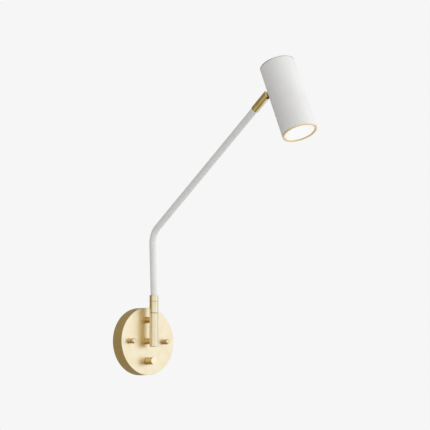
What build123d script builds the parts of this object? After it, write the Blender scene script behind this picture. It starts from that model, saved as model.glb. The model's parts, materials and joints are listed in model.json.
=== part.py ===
from build123d import *
import os
from math import cos, radians, sin, sqrt

# Bedside wall reading lamp. A round canopy on the wall carries a short post on two standoffs.
# A sleeve on the post swivels with a bent arm, and a knuckle at the arm's end tilts the head.
# Millimetres. Origin on the wall at the canopy's centre, X right when facing the wall,
# Y into the wall, Z up. The arm and the head lie in the plane X = 0.

# ---- Canopy and what it hides ----
canopy_r = 60.0
canopy_depth = 25.0
canopy_wall = 1.5
canopy_edge_r = 0.8
inside_face = canopy_depth - canopy_wall

stud_x = 39.0
stud_r = 2.0
stud_length = 33.0
stud_head_r = 3.2
stud_head_depth = 0.9
cap_nut_r = 4.9
cap_nut_length = 11.0
cap_nut_skirt = 5.2
cap_nut_crease = 0.5
cap_nut_dome_r = 3.0
cap_nut_hole = 9.0
screw_gap = 0.05
press_gap = 0.02

bracket_depth = 2.0
bar_length = 100.0
bar_height = 22.0
upper_leaf_width = 76.0
upper_leaf_top = 42.0
lower_leaf_left = -44.0
lower_leaf_right = 30.0
lower_leaf_bottom = -34.0
bracket_corner_r = 2.0
slot_spacing = 50.0
slot_length = 12.0
slot_r = 2.25

cable_entry_x = 8.0
cable_entry_z = -22.0
cable_entry_r = 7.0
grommet_bore_r = 4.0
grommet_flange_r = 8.5
grommet_flange_depth = 1.5

terminal_x = -27.0
terminal_z = -23.5
terminal_width = 27.0
terminal_height = 17.0
terminal_depth = 14.0
terminal_pitch = 8.0
terminal_hole_r = 2.2
terminal_screw_r = 1.9
terminal_screw_well = 9.0
terminal_screw_length = 6.5
terminal_wire_up = 4.5
terminal_edge = 0.8
screw_slot_width = 0.7
screw_slot_depth = 0.8

earth_x = 23.0
earth_z = -18.0
earth_screw_r = 2.0
earth_head_r = 3.8
earth_head_depth = 2.4
earth_washer_r = 4.5
earth_washer_depth = 0.8
earth_slot_width = 1.0
earth_slot_depth = 1.2
screw_tip_out = 0.2

driver_width = 60.0
driver_height = 26.0
driver_depth = 14.0
driver_z = 28.0
driver_out = 2.3
driver_corner_r = 2.0
driver_ear = 7.0
driver_ear_depth = 3.0
driver_ear_height = 12.0
driver_screw_r = 1.5
driver_screw_head_r = 2.8
driver_screw_head_depth = 1.8
driver_edge = 0.8

# ---- Dimmer and its knob ----
dimmer_z = -35.0
dimmer_r = 8.5
dimmer_depth = 10.0
dimmer_edge = 1.0
dimmer_bush_r = 3.5
dimmer_bush_end = 29.0
dimmer_shaft_r = 3.0
dimmer_shaft_end = 38.0
dimmer_shaft_back = 16.5
shaft_end_gap = 0.5
shaft_flat = 0.6
shaft_flat_length = 8.0
dimmer_nut_across = 9.5
dimmer_nut_depth = 2.0
running_gap = 0.05
knob_r = 6.8
knob_back = 25.7
knob_front = 43.3
knob_edge = 0.5
knob_hollow_r = 6.1
knob_hollow_depth = 4.0
knob_grub_out = 35.0
grub_r = 1.5
grub_length = 1.6
grub_hex_r = 0.75
grub_sunk = 0.6

# ---- Post, standoffs and swivel ----
post_y = -42.0
post_r = 7.75
post_bore_r = 5.5
post_bottom = -10.3
post_floor = 4.0
post_top = 49.5
post_edge = 0.8
standoff_r = 5.5
standoff_upper_z = 38.0
standoff_lower_z = 0.0
post_screw_r = 2.5
post_screw_head_r = 4.2
post_screw_head_depth = 3.4
post_screw_hex_r = 2.1
post_screw_hex_depth = 2.0
post_screw_tip_gap = 0.1
hollow_bolt_r = 3.0
hollow_bolt_bore_r = 1.7
hollow_bolt_head_across = 10.0
hollow_bolt_head_depth = 3.0
washer_r = 5.6
washer_depth = 1.0

bush_bottom = 42.0
spindle_r = 4.0
spindle_bore_r = 2.2
spindle_bottom = 38.4
spindle_top = 61.0
clip_bottom = 41.0
clip_depth = 0.8
clip_r = 5.1
clip_groove_r = 3.3
clip_opening = 2.4
swivel_washer_r = 7.1
sleeve_bottom = 50.3
sleeve_top = 70.25
sleeve_floor_top = 61.5
seam_edge = 0.25
collar_bottom = 70.45
collar_top = 81.5
arm_grub_z = 66.5

# ---- Arm ----
tube_r = 5.9
tube_bore_r = 4.9
tube_foot = 62.0
tube_lean_start = 83.0
corner_y = -37.3
corner_z = 191.5
lean_r = 200.0
elbow_r = 34.0
arm_rise = 35.8
corner_to_pivot = 372.4
lead_r = 1.1
lead_out = 9.3
lead_end_gap = 0.05
lead_turn_z = 4.0
supply_lead_x = -35.0
supply_lead_turn_x = -35.5
supply_lead_top_x = -37.0
supply_lead_bends = (20.0, 4.0)
dimmer_lead_start = 0.4
dimmer_lead_out = 18.0
dimmer_lead_side_x = 34.0
dimmer_lead_side_out = 14.0
dimmer_lead_side_z = -34.0
dimmer_lead_turn_x = 35.0
dimmer_lead_top_x = 36.8
dimmer_lead_bends = (12.0, 20.0, 4.0)
post_lead_out = 10.0
post_lead_bends = (7.0, 4.2)
head_lead_bend = 8.0
joint_lead_gap = 0.8

# ---- Knuckle: distances along the arm's upper run, counted from the pivot ----
knuckle_r = 6.8
knuckle_collar_start = -37.8
knuckle_collar_end = -28.0
knuckle_collar_edge = 0.5
fork_start = -27.9
fork_end = 3.8
fork_edge_r = 1.5
fork_spigot_r = 4.85
fork_spigot_start = -40.0
fork_bore_r = 3.6
slot_half = 2.9
slot_bottom = -3.4
pin_r = 1.25
pin_hole_r = 1.3
shoulder_r = 1.65
shoulder_hole_r = 1.7
shoulder_start = 0.45
pin_tip_gap = 0.2
near_hole_end = -5.2
pin_head_r = 2.6
pin_head_seat = 5.0
pin_head_end = 6.1
pin_slot_width = 0.7
pin_slot_depth = 0.5
tongue_near = -2.6
tongue_far = 0.2
tongue_half = 3.2
tongue_root = 1.0
friction_washer_r = 3.0

# ---- Head: distances along its axis, counted from its middle towards the back ----
head_tilt = 24.5
head_r = 30.0
head_length = 134.0
shell_wall = 1.5
head_half = head_length / 2
pivot_from_axis = 43.4
pivot_from_middle = 32.8
cap_edge = 1.7
cap_chamfer = 0.4
cap_spigot_depth = 5.0
cap_wall = 2.0
bore_gap = 0.1
ring_edge = 1.3
ring_chamfer = 0.3
ring_lip_r = 26.0
ring_lip_mouth_r = 27.0
ring_depth = 7.0
ring_bore_r = 27.4
diffuser_front = -65.5
diffuser_depth = 2.0
gasket_depth = 0.8
reflector_front = -62.6
reflector_back = -38.4
reflector_mouth_r = 25.5
reflector_throat_r = 10.5
reflector_wall = 1.2
board_depth = 1.6
board_r = 21.0
chip_half = 7.0
chip_corner_r = 1.0
chip_depth = 0.9
board_screw_circle = 17.0
board_screw_r = 1.25
board_screw_reach = 5.0
board_screw_head_r = 2.3
board_screw_head_depth = 1.6
board_slot_width = 0.6
board_slot_depth = 0.7
sink_r = 28.3
sink_front = -36.5
sink_base_depth = 6.0
sink_fin_depth = 18.0
sink_fin_count = 9
sink_fin_width = 2.0
sink_fin_pitch = 5.4
sink_wire_x = 2.7
sink_wire_y = 12.0
sink_wire_r = 2.0
snap_ring_depth = 1.2
snap_groove_depth = 0.5
snap_ring_gap = 0.1
snap_ring_bore_r = 26.6
snap_ring_opening = 7.0
o_ring_r = 27.78
o_ring_wire_r = 0.62
o_ring_back = 62.8
o_ring_groove_depth = 1.4
o_ring_groove_width = 1.6
lug_boss_r = 5.5
lug_boss_top = 33.2
lug_stud_r = 4.0
lug_stud_end = 22.5
lug_stud_root = 31.0
lug_wire_x = 1.9
lug_wire_r = 1.5
lug_nut_across = 13.0
lug_nut_depth = 3.2
lug_washer_r = 7.0
lug_washer_depth = 1.0

# ---- Places worked out from the dimensions above ----
arm_out = cos(radians(arm_rise))
arm_up = sin(radians(arm_rise))
pivot_y = corner_y - corner_to_pivot * arm_out
pivot_z = corner_z + corner_to_pivot * arm_up
tilt_sin = sin(radians(head_tilt))
tilt_cos = cos(radians(head_tilt))
head_y = pivot_y - pivot_from_axis * tilt_cos - pivot_from_middle * tilt_sin
head_z = pivot_z + pivot_from_axis * tilt_sin - pivot_from_middle * tilt_cos
shell_bore_r = head_r - shell_wall
snap_start = sink_front + sink_base_depth + sink_fin_depth + snap_ring_gap

os.makedirs("parts", exist_ok=True)


def wall_plane(out=0.0, x=0.0, up=0.0):
    """Plane parallel to the wall, a distance out from it: x right, y up, z into the room."""
    return Plane(origin=(x, -out, up), x_dir=(1, 0, 0), z_dir=(0, -1, 0))


def post_plane(up):
    """Level plane centred on the post, whose z points up."""
    return Plane(origin=(0, post_y, up), x_dir=(1, 0, 0), z_dir=(0, 0, 1))


def arm_plane(along):
    """Plane across the arm's upper run, a distance beyond the pivot: z runs out along the arm."""
    centre = (0, pivot_y - along * arm_out, pivot_z + along * arm_up)
    return Plane(origin=centre, x_dir=(1, 0, 0), z_dir=(0, -arm_out, arm_up))


def pivot_plane(x):
    """Plane square to the tilt axis at a place along it, turned with the arm's upper run."""
    return Plane(origin=(x, pivot_y, pivot_z), x_dir=(0, -arm_out, arm_up), z_dir=(1, 0, 0))


def head_plane(back):
    """Plane across the head, a distance from its middle: y towards the arm, z to the back."""
    centre = (0, head_y + back * tilt_sin, head_z + back * tilt_cos)
    return Plane(origin=centre, x_dir=(1, 0, 0), z_dir=(0, tilt_sin, tilt_cos))


def lug_plane(off_axis, x=0.0):
    """Plane across the head's lug, a distance off the head's axis: z points at the arm."""
    y = head_y + pivot_from_middle * tilt_sin + off_axis * tilt_cos
    z = head_z + pivot_from_middle * tilt_cos - off_axis * tilt_sin
    return Plane(origin=(x, y, z), x_dir=(1, 0, 0), z_dir=(0, tilt_cos, -tilt_sin))


def side_plane(x):
    """Plane square to the tilt axis, turned with the head: x towards the arm, z along X."""
    centre = (x, pivot_y, pivot_z)
    return Plane(origin=centre, x_dir=(0, tilt_cos, -tilt_sin), z_dir=(1, 0, 0))


def arm_point(along):
    """Point on the middle line of the arm's upper run, a distance beyond the pivot."""
    return (0, pivot_y - along * arm_out, pivot_z + along * arm_up)


def head_point(off_axis, back, x=0.0):
    """Point in the head: a distance off its axis towards the arm, and back from its middle."""
    y = head_y + off_axis * tilt_cos + back * tilt_sin
    z = head_z - off_axis * tilt_sin + back * tilt_cos
    return (x, y, z)


# ---- Canopy cover: a spun cup, open towards the wall ----
with BuildPart() as canopy_cover:
    with BuildSketch(wall_plane()):
        Circle(canopy_r)
    extrude(amount=canopy_depth)
    fillet(canopy_cover.faces().sort_by(Axis.Y)[0].edges(), radius=canopy_edge_r)
    with BuildSketch(wall_plane()):
        Circle(canopy_r - canopy_wall)
    extrude(amount=inside_face, mode=Mode.SUBTRACT)
    with BuildSketch(wall_plane(inside_face)):
        with Locations((-stud_x, 0), (stud_x, 0)):
            Circle(stud_r + screw_gap)
        with Locations((0, standoff_upper_z)):
            Circle(post_screw_r + screw_gap)
        with Locations((0, standoff_lower_z)):
            Circle(hollow_bolt_r + screw_gap)
        with Locations((0, dimmer_z)):
            Circle(dimmer_bush_r + screw_gap)
    extrude(amount=canopy_wall, mode=Mode.SUBTRACT)
canopy_cover.part.label = "canopy_cover"
export_step(canopy_cover.part, "parts/canopy_cover.step")

# ---- Wall bracket: pressed steel bar with two leaves, slots for the wall screws ----
upper_leaf_height = upper_leaf_top - bar_height / 2
lower_leaf_width = lower_leaf_right - lower_leaf_left
lower_leaf_height = -lower_leaf_bottom - bar_height / 2
driver_screw_x = driver_width / 2 + driver_ear / 2
with BuildPart() as mounting_bracket:
    with BuildSketch(wall_plane()):
        Rectangle(bar_length, bar_height)
        with Locations((0, (upper_leaf_top + bar_height / 2) / 2)):
            Rectangle(upper_leaf_width, upper_leaf_height)
        with Locations(
            ((lower_leaf_left + lower_leaf_right) / 2, (lower_leaf_bottom - bar_height / 2) / 2)
        ):
            Rectangle(lower_leaf_width, lower_leaf_height)
    extrude(amount=bracket_depth)
    fillet(mounting_bracket.edges().filter_by(Axis.Y), radius=bracket_corner_r)
    with BuildSketch(wall_plane()):
        with Locations((-slot_spacing / 2, 0), (slot_spacing / 2, 0)):
            SlotOverall(slot_length, 2 * slot_r)
        with Locations((-stud_x, 0), (stud_x, 0)):
            Circle(stud_r + screw_gap)
        with Locations((cable_entry_x, cable_entry_z)):
            Circle(cable_entry_r)
        with Locations((earth_x, earth_z)):
            Circle(earth_screw_r + screw_gap)
        with Locations((-driver_screw_x, driver_z), (driver_screw_x, driver_z)):
            Circle(driver_screw_r + screw_gap)
    extrude(amount=bracket_depth, mode=Mode.SUBTRACT)
    with BuildSketch(wall_plane()):
        with Locations((-stud_x, 0), (stud_x, 0)):
            Circle(stud_head_r + screw_gap)
    extrude(amount=stud_head_depth + screw_gap, mode=Mode.SUBTRACT)
mounting_bracket.part.label = "mounting_bracket"
export_step(mounting_bracket.part, "parts/mounting_bracket.step")

# ---- Studs pressed into the bracket, which hold the cover ----
with BuildPart() as cover_studs:
    for x in (-stud_x, stud_x):
        with BuildSketch(wall_plane(0, x)):
            Circle(stud_head_r)
        extrude(amount=stud_head_depth)
        with BuildSketch(wall_plane(stud_head_depth, x)):
            Circle(stud_r)
        extrude(amount=stud_length - stud_head_depth)
cover_studs.part.label = "cover_studs"
export_step(cover_studs.part, "parts/cover_studs.step")

# ---- Domed nuts: a short skirt, a turned crease and a domed end, blind inside ----
with BuildPart() as cap_nuts:
    for x in (-stud_x, stud_x):
        with BuildSketch(wall_plane(canopy_depth, x)):
            Circle(cap_nut_r - cap_nut_crease)
        extrude(amount=cap_nut_skirt)
        chamfer(
            cap_nuts.faces().filter_by(Axis.Y).filter_by_position(Axis.X, x - cap_nut_r, x + cap_nut_r)
            .sort_by(Axis.Y)[0].edges(),
            length=cap_nut_crease,
        )
        with BuildSketch(wall_plane(canopy_depth + cap_nut_skirt, x)):
            Circle(cap_nut_r)
        extrude(amount=cap_nut_length - cap_nut_skirt)
        fillet(
            cap_nuts.faces().filter_by(Axis.Y).filter_by_position(Axis.X, x - cap_nut_r, x + cap_nut_r)
            .sort_by(Axis.Y)[0].edges(),
            radius=cap_nut_dome_r,
        )
        with BuildSketch(wall_plane(canopy_depth, x)):
            Circle(stud_r + screw_gap)
        extrude(amount=cap_nut_hole, mode=Mode.SUBTRACT)
cap_nuts.part.label = "cap_nuts"
export_step(cap_nuts.part, "parts/cap_nuts.step")

# ---- Rubber grommet where the supply cable comes out of the wall ----
with BuildPart() as cable_grommet:
    with BuildSketch(wall_plane(0, cable_entry_x, cable_entry_z)):
        Circle(cable_entry_r)
    extrude(amount=bracket_depth)
    with BuildSketch(wall_plane(bracket_depth, cable_entry_x, cable_entry_z)):
        Circle(grommet_flange_r)
    extrude(amount=grommet_flange_depth)
    with BuildSketch(wall_plane(0, cable_entry_x, cable_entry_z)):
        Circle(grommet_bore_r)
    extrude(amount=bracket_depth + grommet_flange_depth, mode=Mode.SUBTRACT)
cable_grommet.part.label = "cable_grommet"
export_step(cable_grommet.part, "parts/cable_grommet.step")

# ---- Three-pole terminal block: each pole has a wire hole and a screw well ----
terminal_out = bracket_depth + terminal_depth
terminal_wire_out = bracket_depth + terminal_wire_up
with BuildPart() as terminal_block:
    with BuildSketch(wall_plane(bracket_depth, terminal_x, terminal_z)):
        Rectangle(terminal_width, terminal_height)
    extrude(amount=terminal_depth)
    with BuildSketch(wall_plane(terminal_out, terminal_x, terminal_z)):
        with GridLocations(terminal_pitch, 0, 3, 1):
            Circle(terminal_hole_r)
    extrude(amount=-terminal_screw_well, mode=Mode.SUBTRACT)
    for pole in (-1, 0, 1):
        pole_x = terminal_x + pole * terminal_pitch
        with BuildSketch(Plane(origin=(pole_x, -terminal_wire_out, terminal_z), z_dir=(0, 0, 1))):
            Circle(terminal_screw_r)
        extrude(amount=terminal_height, both=True, mode=Mode.SUBTRACT)
    chamfer(terminal_block.faces().sort_by(Axis.Y)[0].outer_wire().edges(), length=terminal_edge)
terminal_block.part.label = "terminal_block"
export_step(terminal_block.part, "parts/terminal_block.step")

terminal_screw_tip = terminal_out - terminal_screw_well + shaft_end_gap
with BuildPart() as terminal_screws:
    for pole in (-1, 0, 1):
        pole_x = terminal_x + pole * terminal_pitch
        with BuildSketch(wall_plane(terminal_screw_tip, pole_x, terminal_z)):
            Circle(terminal_screw_r)
        extrude(amount=terminal_screw_length)
        with BuildSketch(wall_plane(terminal_screw_tip + terminal_screw_length, pole_x, terminal_z)):
            Rectangle(2 * terminal_screw_r, screw_slot_width)
        extrude(amount=-screw_slot_depth, mode=Mode.SUBTRACT)
terminal_screws.part.label = "terminal_screws"
export_step(terminal_screws.part, "parts/terminal_screws.step")

# ---- Earth screw and its washer ----
earth_seat = bracket_depth + earth_washer_depth
with BuildPart() as earth_screw:
    with BuildSketch(wall_plane(screw_tip_out, earth_x, earth_z)):
        Circle(earth_screw_r)
    extrude(amount=earth_seat - screw_tip_out)
    with BuildSketch(wall_plane(earth_seat, earth_x, earth_z)):
        Circle(earth_head_r)
    extrude(amount=earth_head_depth)
    with BuildSketch(wall_plane(earth_seat + earth_head_depth, earth_x, earth_z)):
        Rectangle(2 * earth_head_r, earth_slot_width)
    extrude(amount=-earth_slot_depth, mode=Mode.SUBTRACT)
earth_screw.part.label = "earth_screw"
export_step(earth_screw.part, "parts/earth_screw.step")

with BuildPart() as earth_washer:
    with BuildSketch(wall_plane(bracket_depth, earth_x, earth_z)):
        Circle(earth_washer_r)
        Circle(earth_screw_r + screw_gap, mode=Mode.SUBTRACT)
    extrude(amount=earth_washer_depth)
earth_washer.part.label = "earth_washer"
export_step(earth_washer.part, "parts/earth_washer.step")

# ---- LED driver with two ears, screwed to the bracket's upper leaf ----
with BuildPart() as led_driver:
    with BuildSketch(wall_plane(driver_out, 0, driver_z)):
        Rectangle(driver_width, driver_height)
    extrude(amount=driver_depth)
    fillet(led_driver.edges().filter_by(Axis.Y), radius=driver_corner_r)
    chamfer(led_driver.faces().sort_by(Axis.Y)[0].edges(), length=driver_edge)
    with BuildSketch(wall_plane(bracket_depth, 0, driver_z)):
        Rectangle(driver_width + 2 * driver_ear, driver_ear_height)
        with Locations((-driver_screw_x, 0), (driver_screw_x, 0)):
            Circle(driver_screw_r + screw_gap, mode=Mode.SUBTRACT)
    extrude(amount=driver_ear_depth)
led_driver.part.label = "led_driver"
export_step(led_driver.part, "parts/led_driver.step")

driver_screw_seat = bracket_depth + driver_ear_depth
with BuildPart() as driver_screws:
    for x in (-driver_screw_x, driver_screw_x):
        with BuildSketch(wall_plane(screw_tip_out, x, driver_z)):
            Circle(driver_screw_r)
        extrude(amount=driver_screw_seat - screw_tip_out)
        with BuildSketch(wall_plane(driver_screw_seat, x, driver_z)):
            Circle(driver_screw_head_r)
        extrude(amount=driver_screw_head_depth)
        with BuildSketch(wall_plane(driver_screw_seat + driver_screw_head_depth, x, driver_z)):
            Rectangle(2 * driver_screw_head_r, screw_slot_width)
        extrude(amount=-screw_slot_depth, mode=Mode.SUBTRACT)
driver_screws.part.label = "driver_screws"
export_step(driver_screws.part, "parts/driver_screws.step")

# ---- Dimmer: module, threaded bush and nut, which the knob hides ----
dimmer_front = inside_face - screw_gap
with BuildPart() as dimmer_body:
    with BuildSketch(wall_plane(dimmer_front, 0, dimmer_z)):
        Circle(dimmer_r)
    extrude(amount=-dimmer_depth)
    chamfer(dimmer_body.faces().sort_by(Axis.Y)[-1].edges(), length=dimmer_edge)
    with BuildSketch(wall_plane(dimmer_front, 0, dimmer_z)):
        Circle(dimmer_shaft_r + running_gap)
    extrude(amount=dimmer_shaft_back - dimmer_front - shaft_end_gap, mode=Mode.SUBTRACT)
dimmer_body.part.label = "dimmer_body"
export_step(dimmer_body.part, "parts/dimmer_body.step")

with BuildPart() as dimmer_bush:
    with BuildSketch(wall_plane(dimmer_front, 0, dimmer_z)):
        Circle(dimmer_bush_r)
        Circle(dimmer_shaft_r + running_gap, mode=Mode.SUBTRACT)
    extrude(amount=dimmer_bush_end - dimmer_front)
dimmer_bush.part.label = "dimmer_bush"
export_step(dimmer_bush.part, "parts/dimmer_bush.step")

with BuildPart() as dimmer_nut:
    with BuildSketch(wall_plane(canopy_depth, 0, dimmer_z)):
        RegularPolygon(dimmer_nut_across / 2, 6, major_radius=False)
        Circle(dimmer_bush_r + screw_gap, mode=Mode.SUBTRACT)
    extrude(amount=dimmer_nut_depth)
dimmer_nut.part.label = "dimmer_nut"
export_step(dimmer_nut.part, "parts/dimmer_nut.step")

# ---- Knob: solid turned brass, hollow at the back, on a flatted shaft ----
flat_middle_z = dimmer_z + dimmer_shaft_r - shaft_flat / 2
with BuildPart() as dimmer_shaft:
    with BuildSketch(wall_plane(dimmer_shaft_back, 0, dimmer_z)):
        Circle(dimmer_shaft_r)
    extrude(amount=dimmer_shaft_end - dimmer_shaft_back)
    with BuildSketch(wall_plane(dimmer_shaft_end - shaft_flat_length, 0, flat_middle_z)):
        Rectangle(2 * dimmer_shaft_r, shaft_flat)
    extrude(amount=shaft_flat_length, mode=Mode.SUBTRACT)
dimmer_shaft.part.label = "dimmer_shaft"
export_step(dimmer_shaft.part, "parts/dimmer_shaft.step")

with BuildPart() as dimmer_knob:
    with BuildSketch(wall_plane(knob_back, 0, dimmer_z)):
        Circle(knob_r)
    extrude(amount=knob_front - knob_back)
    chamfer(dimmer_knob.faces().sort_by(Axis.Y)[0].edges(), length=knob_edge)
    with BuildSketch(wall_plane(knob_back, 0, dimmer_z)):
        Circle(knob_hollow_r)
    extrude(amount=knob_hollow_depth, mode=Mode.SUBTRACT)
    with BuildSketch(wall_plane(knob_back, 0, dimmer_z)):
        Circle(dimmer_shaft_r + screw_gap)
    extrude(amount=dimmer_shaft_end - knob_back + shaft_end_gap, mode=Mode.SUBTRACT)
    with BuildSketch(Plane(origin=(0, -knob_grub_out, dimmer_z), z_dir=(0, 0, 1))):
        Circle(grub_r + screw_gap)
    extrude(amount=knob_r, mode=Mode.SUBTRACT)
dimmer_knob.part.label = "dimmer_knob"
export_step(dimmer_knob.part, "parts/dimmer_knob.step")

knob_grub_start = dimmer_shaft_r - shaft_flat + screw_gap
knob_grub_end = knob_r - grub_sunk
with BuildPart() as knob_grub_screw:
    with BuildSketch(Plane(origin=(0, -knob_grub_out, dimmer_z + knob_grub_start), z_dir=(0, 0, 1))):
        Circle(grub_r)
    extrude(amount=knob_grub_end - knob_grub_start)
    with BuildSketch(Plane(origin=(0, -knob_grub_out, dimmer_z + knob_grub_end), z_dir=(0, 0, 1))):
        RegularPolygon(grub_hex_r, 6)
    extrude(amount=-grub_length, mode=Mode.SUBTRACT)
knob_grub_screw.part.label = "knob_grub_screw"
export_step(knob_grub_screw.part, "parts/knob_grub_screw.step")

# ---- Post: a closed-ended tube that stands clear of the canopy ----
with BuildPart() as post:
    with BuildSketch(post_plane(post_bottom)):
        Circle(post_r)
    extrude(amount=post_top - post_bottom)
    chamfer(post.faces().sort_by(Axis.Z)[0].edges(), length=post_edge)
    chamfer(post.faces().sort_by(Axis.Z)[-1].edges(), length=seam_edge)
    with BuildSketch(post_plane(post_bottom + post_floor)):
        Circle(post_bore_r)
    extrude(amount=post_top - post_bottom, mode=Mode.SUBTRACT)
    with BuildSketch(wall_plane(canopy_depth, 0, standoff_upper_z)):
        Circle(post_screw_r + screw_gap)
    extrude(amount=-post_y - canopy_depth, mode=Mode.SUBTRACT)
    with BuildSketch(wall_plane(canopy_depth, 0, standoff_lower_z)):
        Circle(hollow_bolt_r + screw_gap)
    extrude(amount=-post_y - canopy_depth, mode=Mode.SUBTRACT)
post.part.label = "post"
export_step(post.part, "parts/post.step")

# ---- Standoffs between the canopy's face and the post, saddled to the post ----
with BuildPart() as standoff_upper:
    with BuildSketch(wall_plane(canopy_depth, 0, standoff_upper_z)):
        Circle(standoff_r)
        Circle(post_screw_r + screw_gap, mode=Mode.SUBTRACT)
    extrude(amount=-post_y - canopy_depth)
    with BuildSketch(post_plane(standoff_upper_z)):
        Circle(post_r)
    extrude(amount=2 * standoff_r, both=True, mode=Mode.SUBTRACT)
standoff_upper.part.label = "standoff_upper"
export_step(standoff_upper.part, "parts/standoff_upper.step")

with BuildPart() as standoff_lower:
    with BuildSketch(wall_plane(canopy_depth, 0, standoff_lower_z)):
        Circle(standoff_r)
        Circle(hollow_bolt_r + screw_gap, mode=Mode.SUBTRACT)
    extrude(amount=-post_y - canopy_depth)
    with BuildSketch(post_plane(standoff_lower_z)):
        Circle(post_r)
    extrude(amount=2 * standoff_r, both=True, mode=Mode.SUBTRACT)
standoff_lower.part.label = "standoff_lower"
export_step(standoff_lower.part, "parts/standoff_lower.step")

# ---- Screws that pull the post on: a plain one above, a hollow one for the lead below ----
post_bore_near = -post_y - post_bore_r
with BuildPart() as post_washers:
    with BuildSketch(wall_plane(inside_face, 0, standoff_upper_z)):
        Circle(washer_r)
        Circle(post_screw_r + screw_gap, mode=Mode.SUBTRACT)
    extrude(amount=-washer_depth)
    with BuildSketch(wall_plane(inside_face, 0, standoff_lower_z)):
        Circle(washer_r)
        Circle(hollow_bolt_r + screw_gap, mode=Mode.SUBTRACT)
    extrude(amount=-washer_depth)
post_washers.part.label = "post_washers"
export_step(post_washers.part, "parts/post_washers.step")

screw_seat = inside_face - washer_depth
with BuildPart() as upper_post_screw:
    with BuildSketch(wall_plane(screw_seat, 0, standoff_upper_z)):
        Circle(post_screw_head_r)
    extrude(amount=-post_screw_head_depth)
    with BuildSketch(wall_plane(screw_seat - post_screw_head_depth, 0, standoff_upper_z)):
        RegularPolygon(post_screw_hex_r, 6)
    extrude(amount=post_screw_hex_depth, mode=Mode.SUBTRACT)
    with BuildSketch(wall_plane(screw_seat, 0, standoff_upper_z)):
        Circle(post_screw_r)
    extrude(amount=post_bore_near - screw_seat - post_screw_tip_gap)
upper_post_screw.part.label = "upper_post_screw"
export_step(upper_post_screw.part, "parts/upper_post_screw.step")

with BuildPart() as hollow_bolt:
    with BuildSketch(wall_plane(screw_seat, 0, standoff_lower_z)):
        RegularPolygon(hollow_bolt_head_across / 2, 6, major_radius=False)
    extrude(amount=-hollow_bolt_head_depth)
    with BuildSketch(wall_plane(screw_seat, 0, standoff_lower_z)):
        Circle(hollow_bolt_r)
    extrude(amount=post_bore_near - screw_seat - post_screw_tip_gap)
    with BuildSketch(wall_plane(screw_seat - hollow_bolt_head_depth, 0, standoff_lower_z)):
        Circle(hollow_bolt_bore_r)
    extrude(amount=post_bore_near, mode=Mode.SUBTRACT)
hollow_bolt.part.label = "hollow_bolt"
export_step(hollow_bolt.part, "parts/hollow_bolt.step")

# ---- Bronze bush in the post's mouth ----
with BuildPart() as post_bush:
    with BuildSketch(post_plane(bush_bottom)):
        Circle(post_bore_r - press_gap)
        Circle(spindle_r + running_gap, mode=Mode.SUBTRACT)
    extrude(amount=post_top - bush_bottom)
post_bush.part.label = "post_bush"
export_step(post_bush.part, "parts/post_bush.step")

# ---- Swivel: hollow spindle, the clip that keeps it in, and the friction washer ----
with BuildPart() as swivel_spindle:
    with BuildSketch(post_plane(spindle_bottom)):
        Circle(spindle_r)
        Circle(spindle_bore_r, mode=Mode.SUBTRACT)
    extrude(amount=spindle_top - spindle_bottom)
    with BuildSketch(post_plane(clip_bottom)):
        Circle(spindle_r)
        Circle(clip_groove_r, mode=Mode.SUBTRACT)
    extrude(amount=clip_depth, mode=Mode.SUBTRACT)
swivel_spindle.part.label = "swivel_spindle"
export_step(swivel_spindle.part, "parts/swivel_spindle.step")

with BuildPart() as spindle_clip:
    with BuildSketch(post_plane(clip_bottom)):
        Circle(clip_r)
        Circle(clip_groove_r + press_gap, mode=Mode.SUBTRACT)
        with Locations((0, -clip_r)):
            Rectangle(clip_opening, 2 * (clip_r - clip_groove_r), mode=Mode.SUBTRACT)
    extrude(amount=clip_depth)
spindle_clip.part.label = "spindle_clip"
export_step(spindle_clip.part, "parts/spindle_clip.step")

with BuildPart() as swivel_washer:
    with BuildSketch(post_plane(post_top + running_gap)):
        Circle(swivel_washer_r)
        Circle(spindle_r + screw_gap, mode=Mode.SUBTRACT)
    extrude(amount=sleeve_bottom - post_top - running_gap)
swivel_washer.part.label = "swivel_washer"
export_step(swivel_washer.part, "parts/swivel_washer.step")

with BuildPart() as swivel_sleeve:
    with BuildSketch(post_plane(sleeve_bottom)):
        Circle(post_r)
    extrude(amount=sleeve_top - sleeve_bottom)
    chamfer(swivel_sleeve.faces().filter_by(Axis.Z).edges(), length=seam_edge)
    with BuildSketch(post_plane(sleeve_bottom)):
        Circle(spindle_r + screw_gap)
    extrude(amount=sleeve_top - sleeve_bottom, mode=Mode.SUBTRACT)
    with BuildSketch(post_plane(sleeve_floor_top)):
        Circle(tube_r + screw_gap)
    extrude(amount=sleeve_top - sleeve_floor_top, mode=Mode.SUBTRACT)
    with BuildSketch(Plane(origin=(0, post_y, arm_grub_z), x_dir=(1, 0, 0), z_dir=(0, 1, 0))):
        Circle(grub_r + screw_gap)
    extrude(amount=post_r, mode=Mode.SUBTRACT)
swivel_sleeve.part.label = "swivel_sleeve"
export_step(swivel_sleeve.part, "parts/swivel_sleeve.step")

with BuildPart() as arm_grub_screw:
    with BuildSketch(
        Plane(origin=(0, post_y + tube_r + screw_gap, arm_grub_z), x_dir=(1, 0, 0), z_dir=(0, 1, 0))
    ):
        Circle(grub_r)
        RegularPolygon(grub_hex_r, 6, mode=Mode.SUBTRACT)
    extrude(amount=grub_length)
arm_grub_screw.part.label = "arm_grub_screw"
export_step(arm_grub_screw.part, "parts/arm_grub_screw.step")

with BuildPart() as arm_collar:
    with BuildSketch(post_plane(collar_bottom)):
        Circle(post_r)
    extrude(amount=collar_top - collar_bottom)
    chamfer(arm_collar.faces().filter_by(Axis.Z).edges(), length=seam_edge)
    with BuildSketch(post_plane(collar_bottom)):
        Circle(tube_r + screw_gap)
    extrude(amount=collar_top - collar_bottom, mode=Mode.SUBTRACT)
arm_collar.part.label = "arm_collar"
export_step(arm_collar.part, "parts/arm_collar.step")

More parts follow.
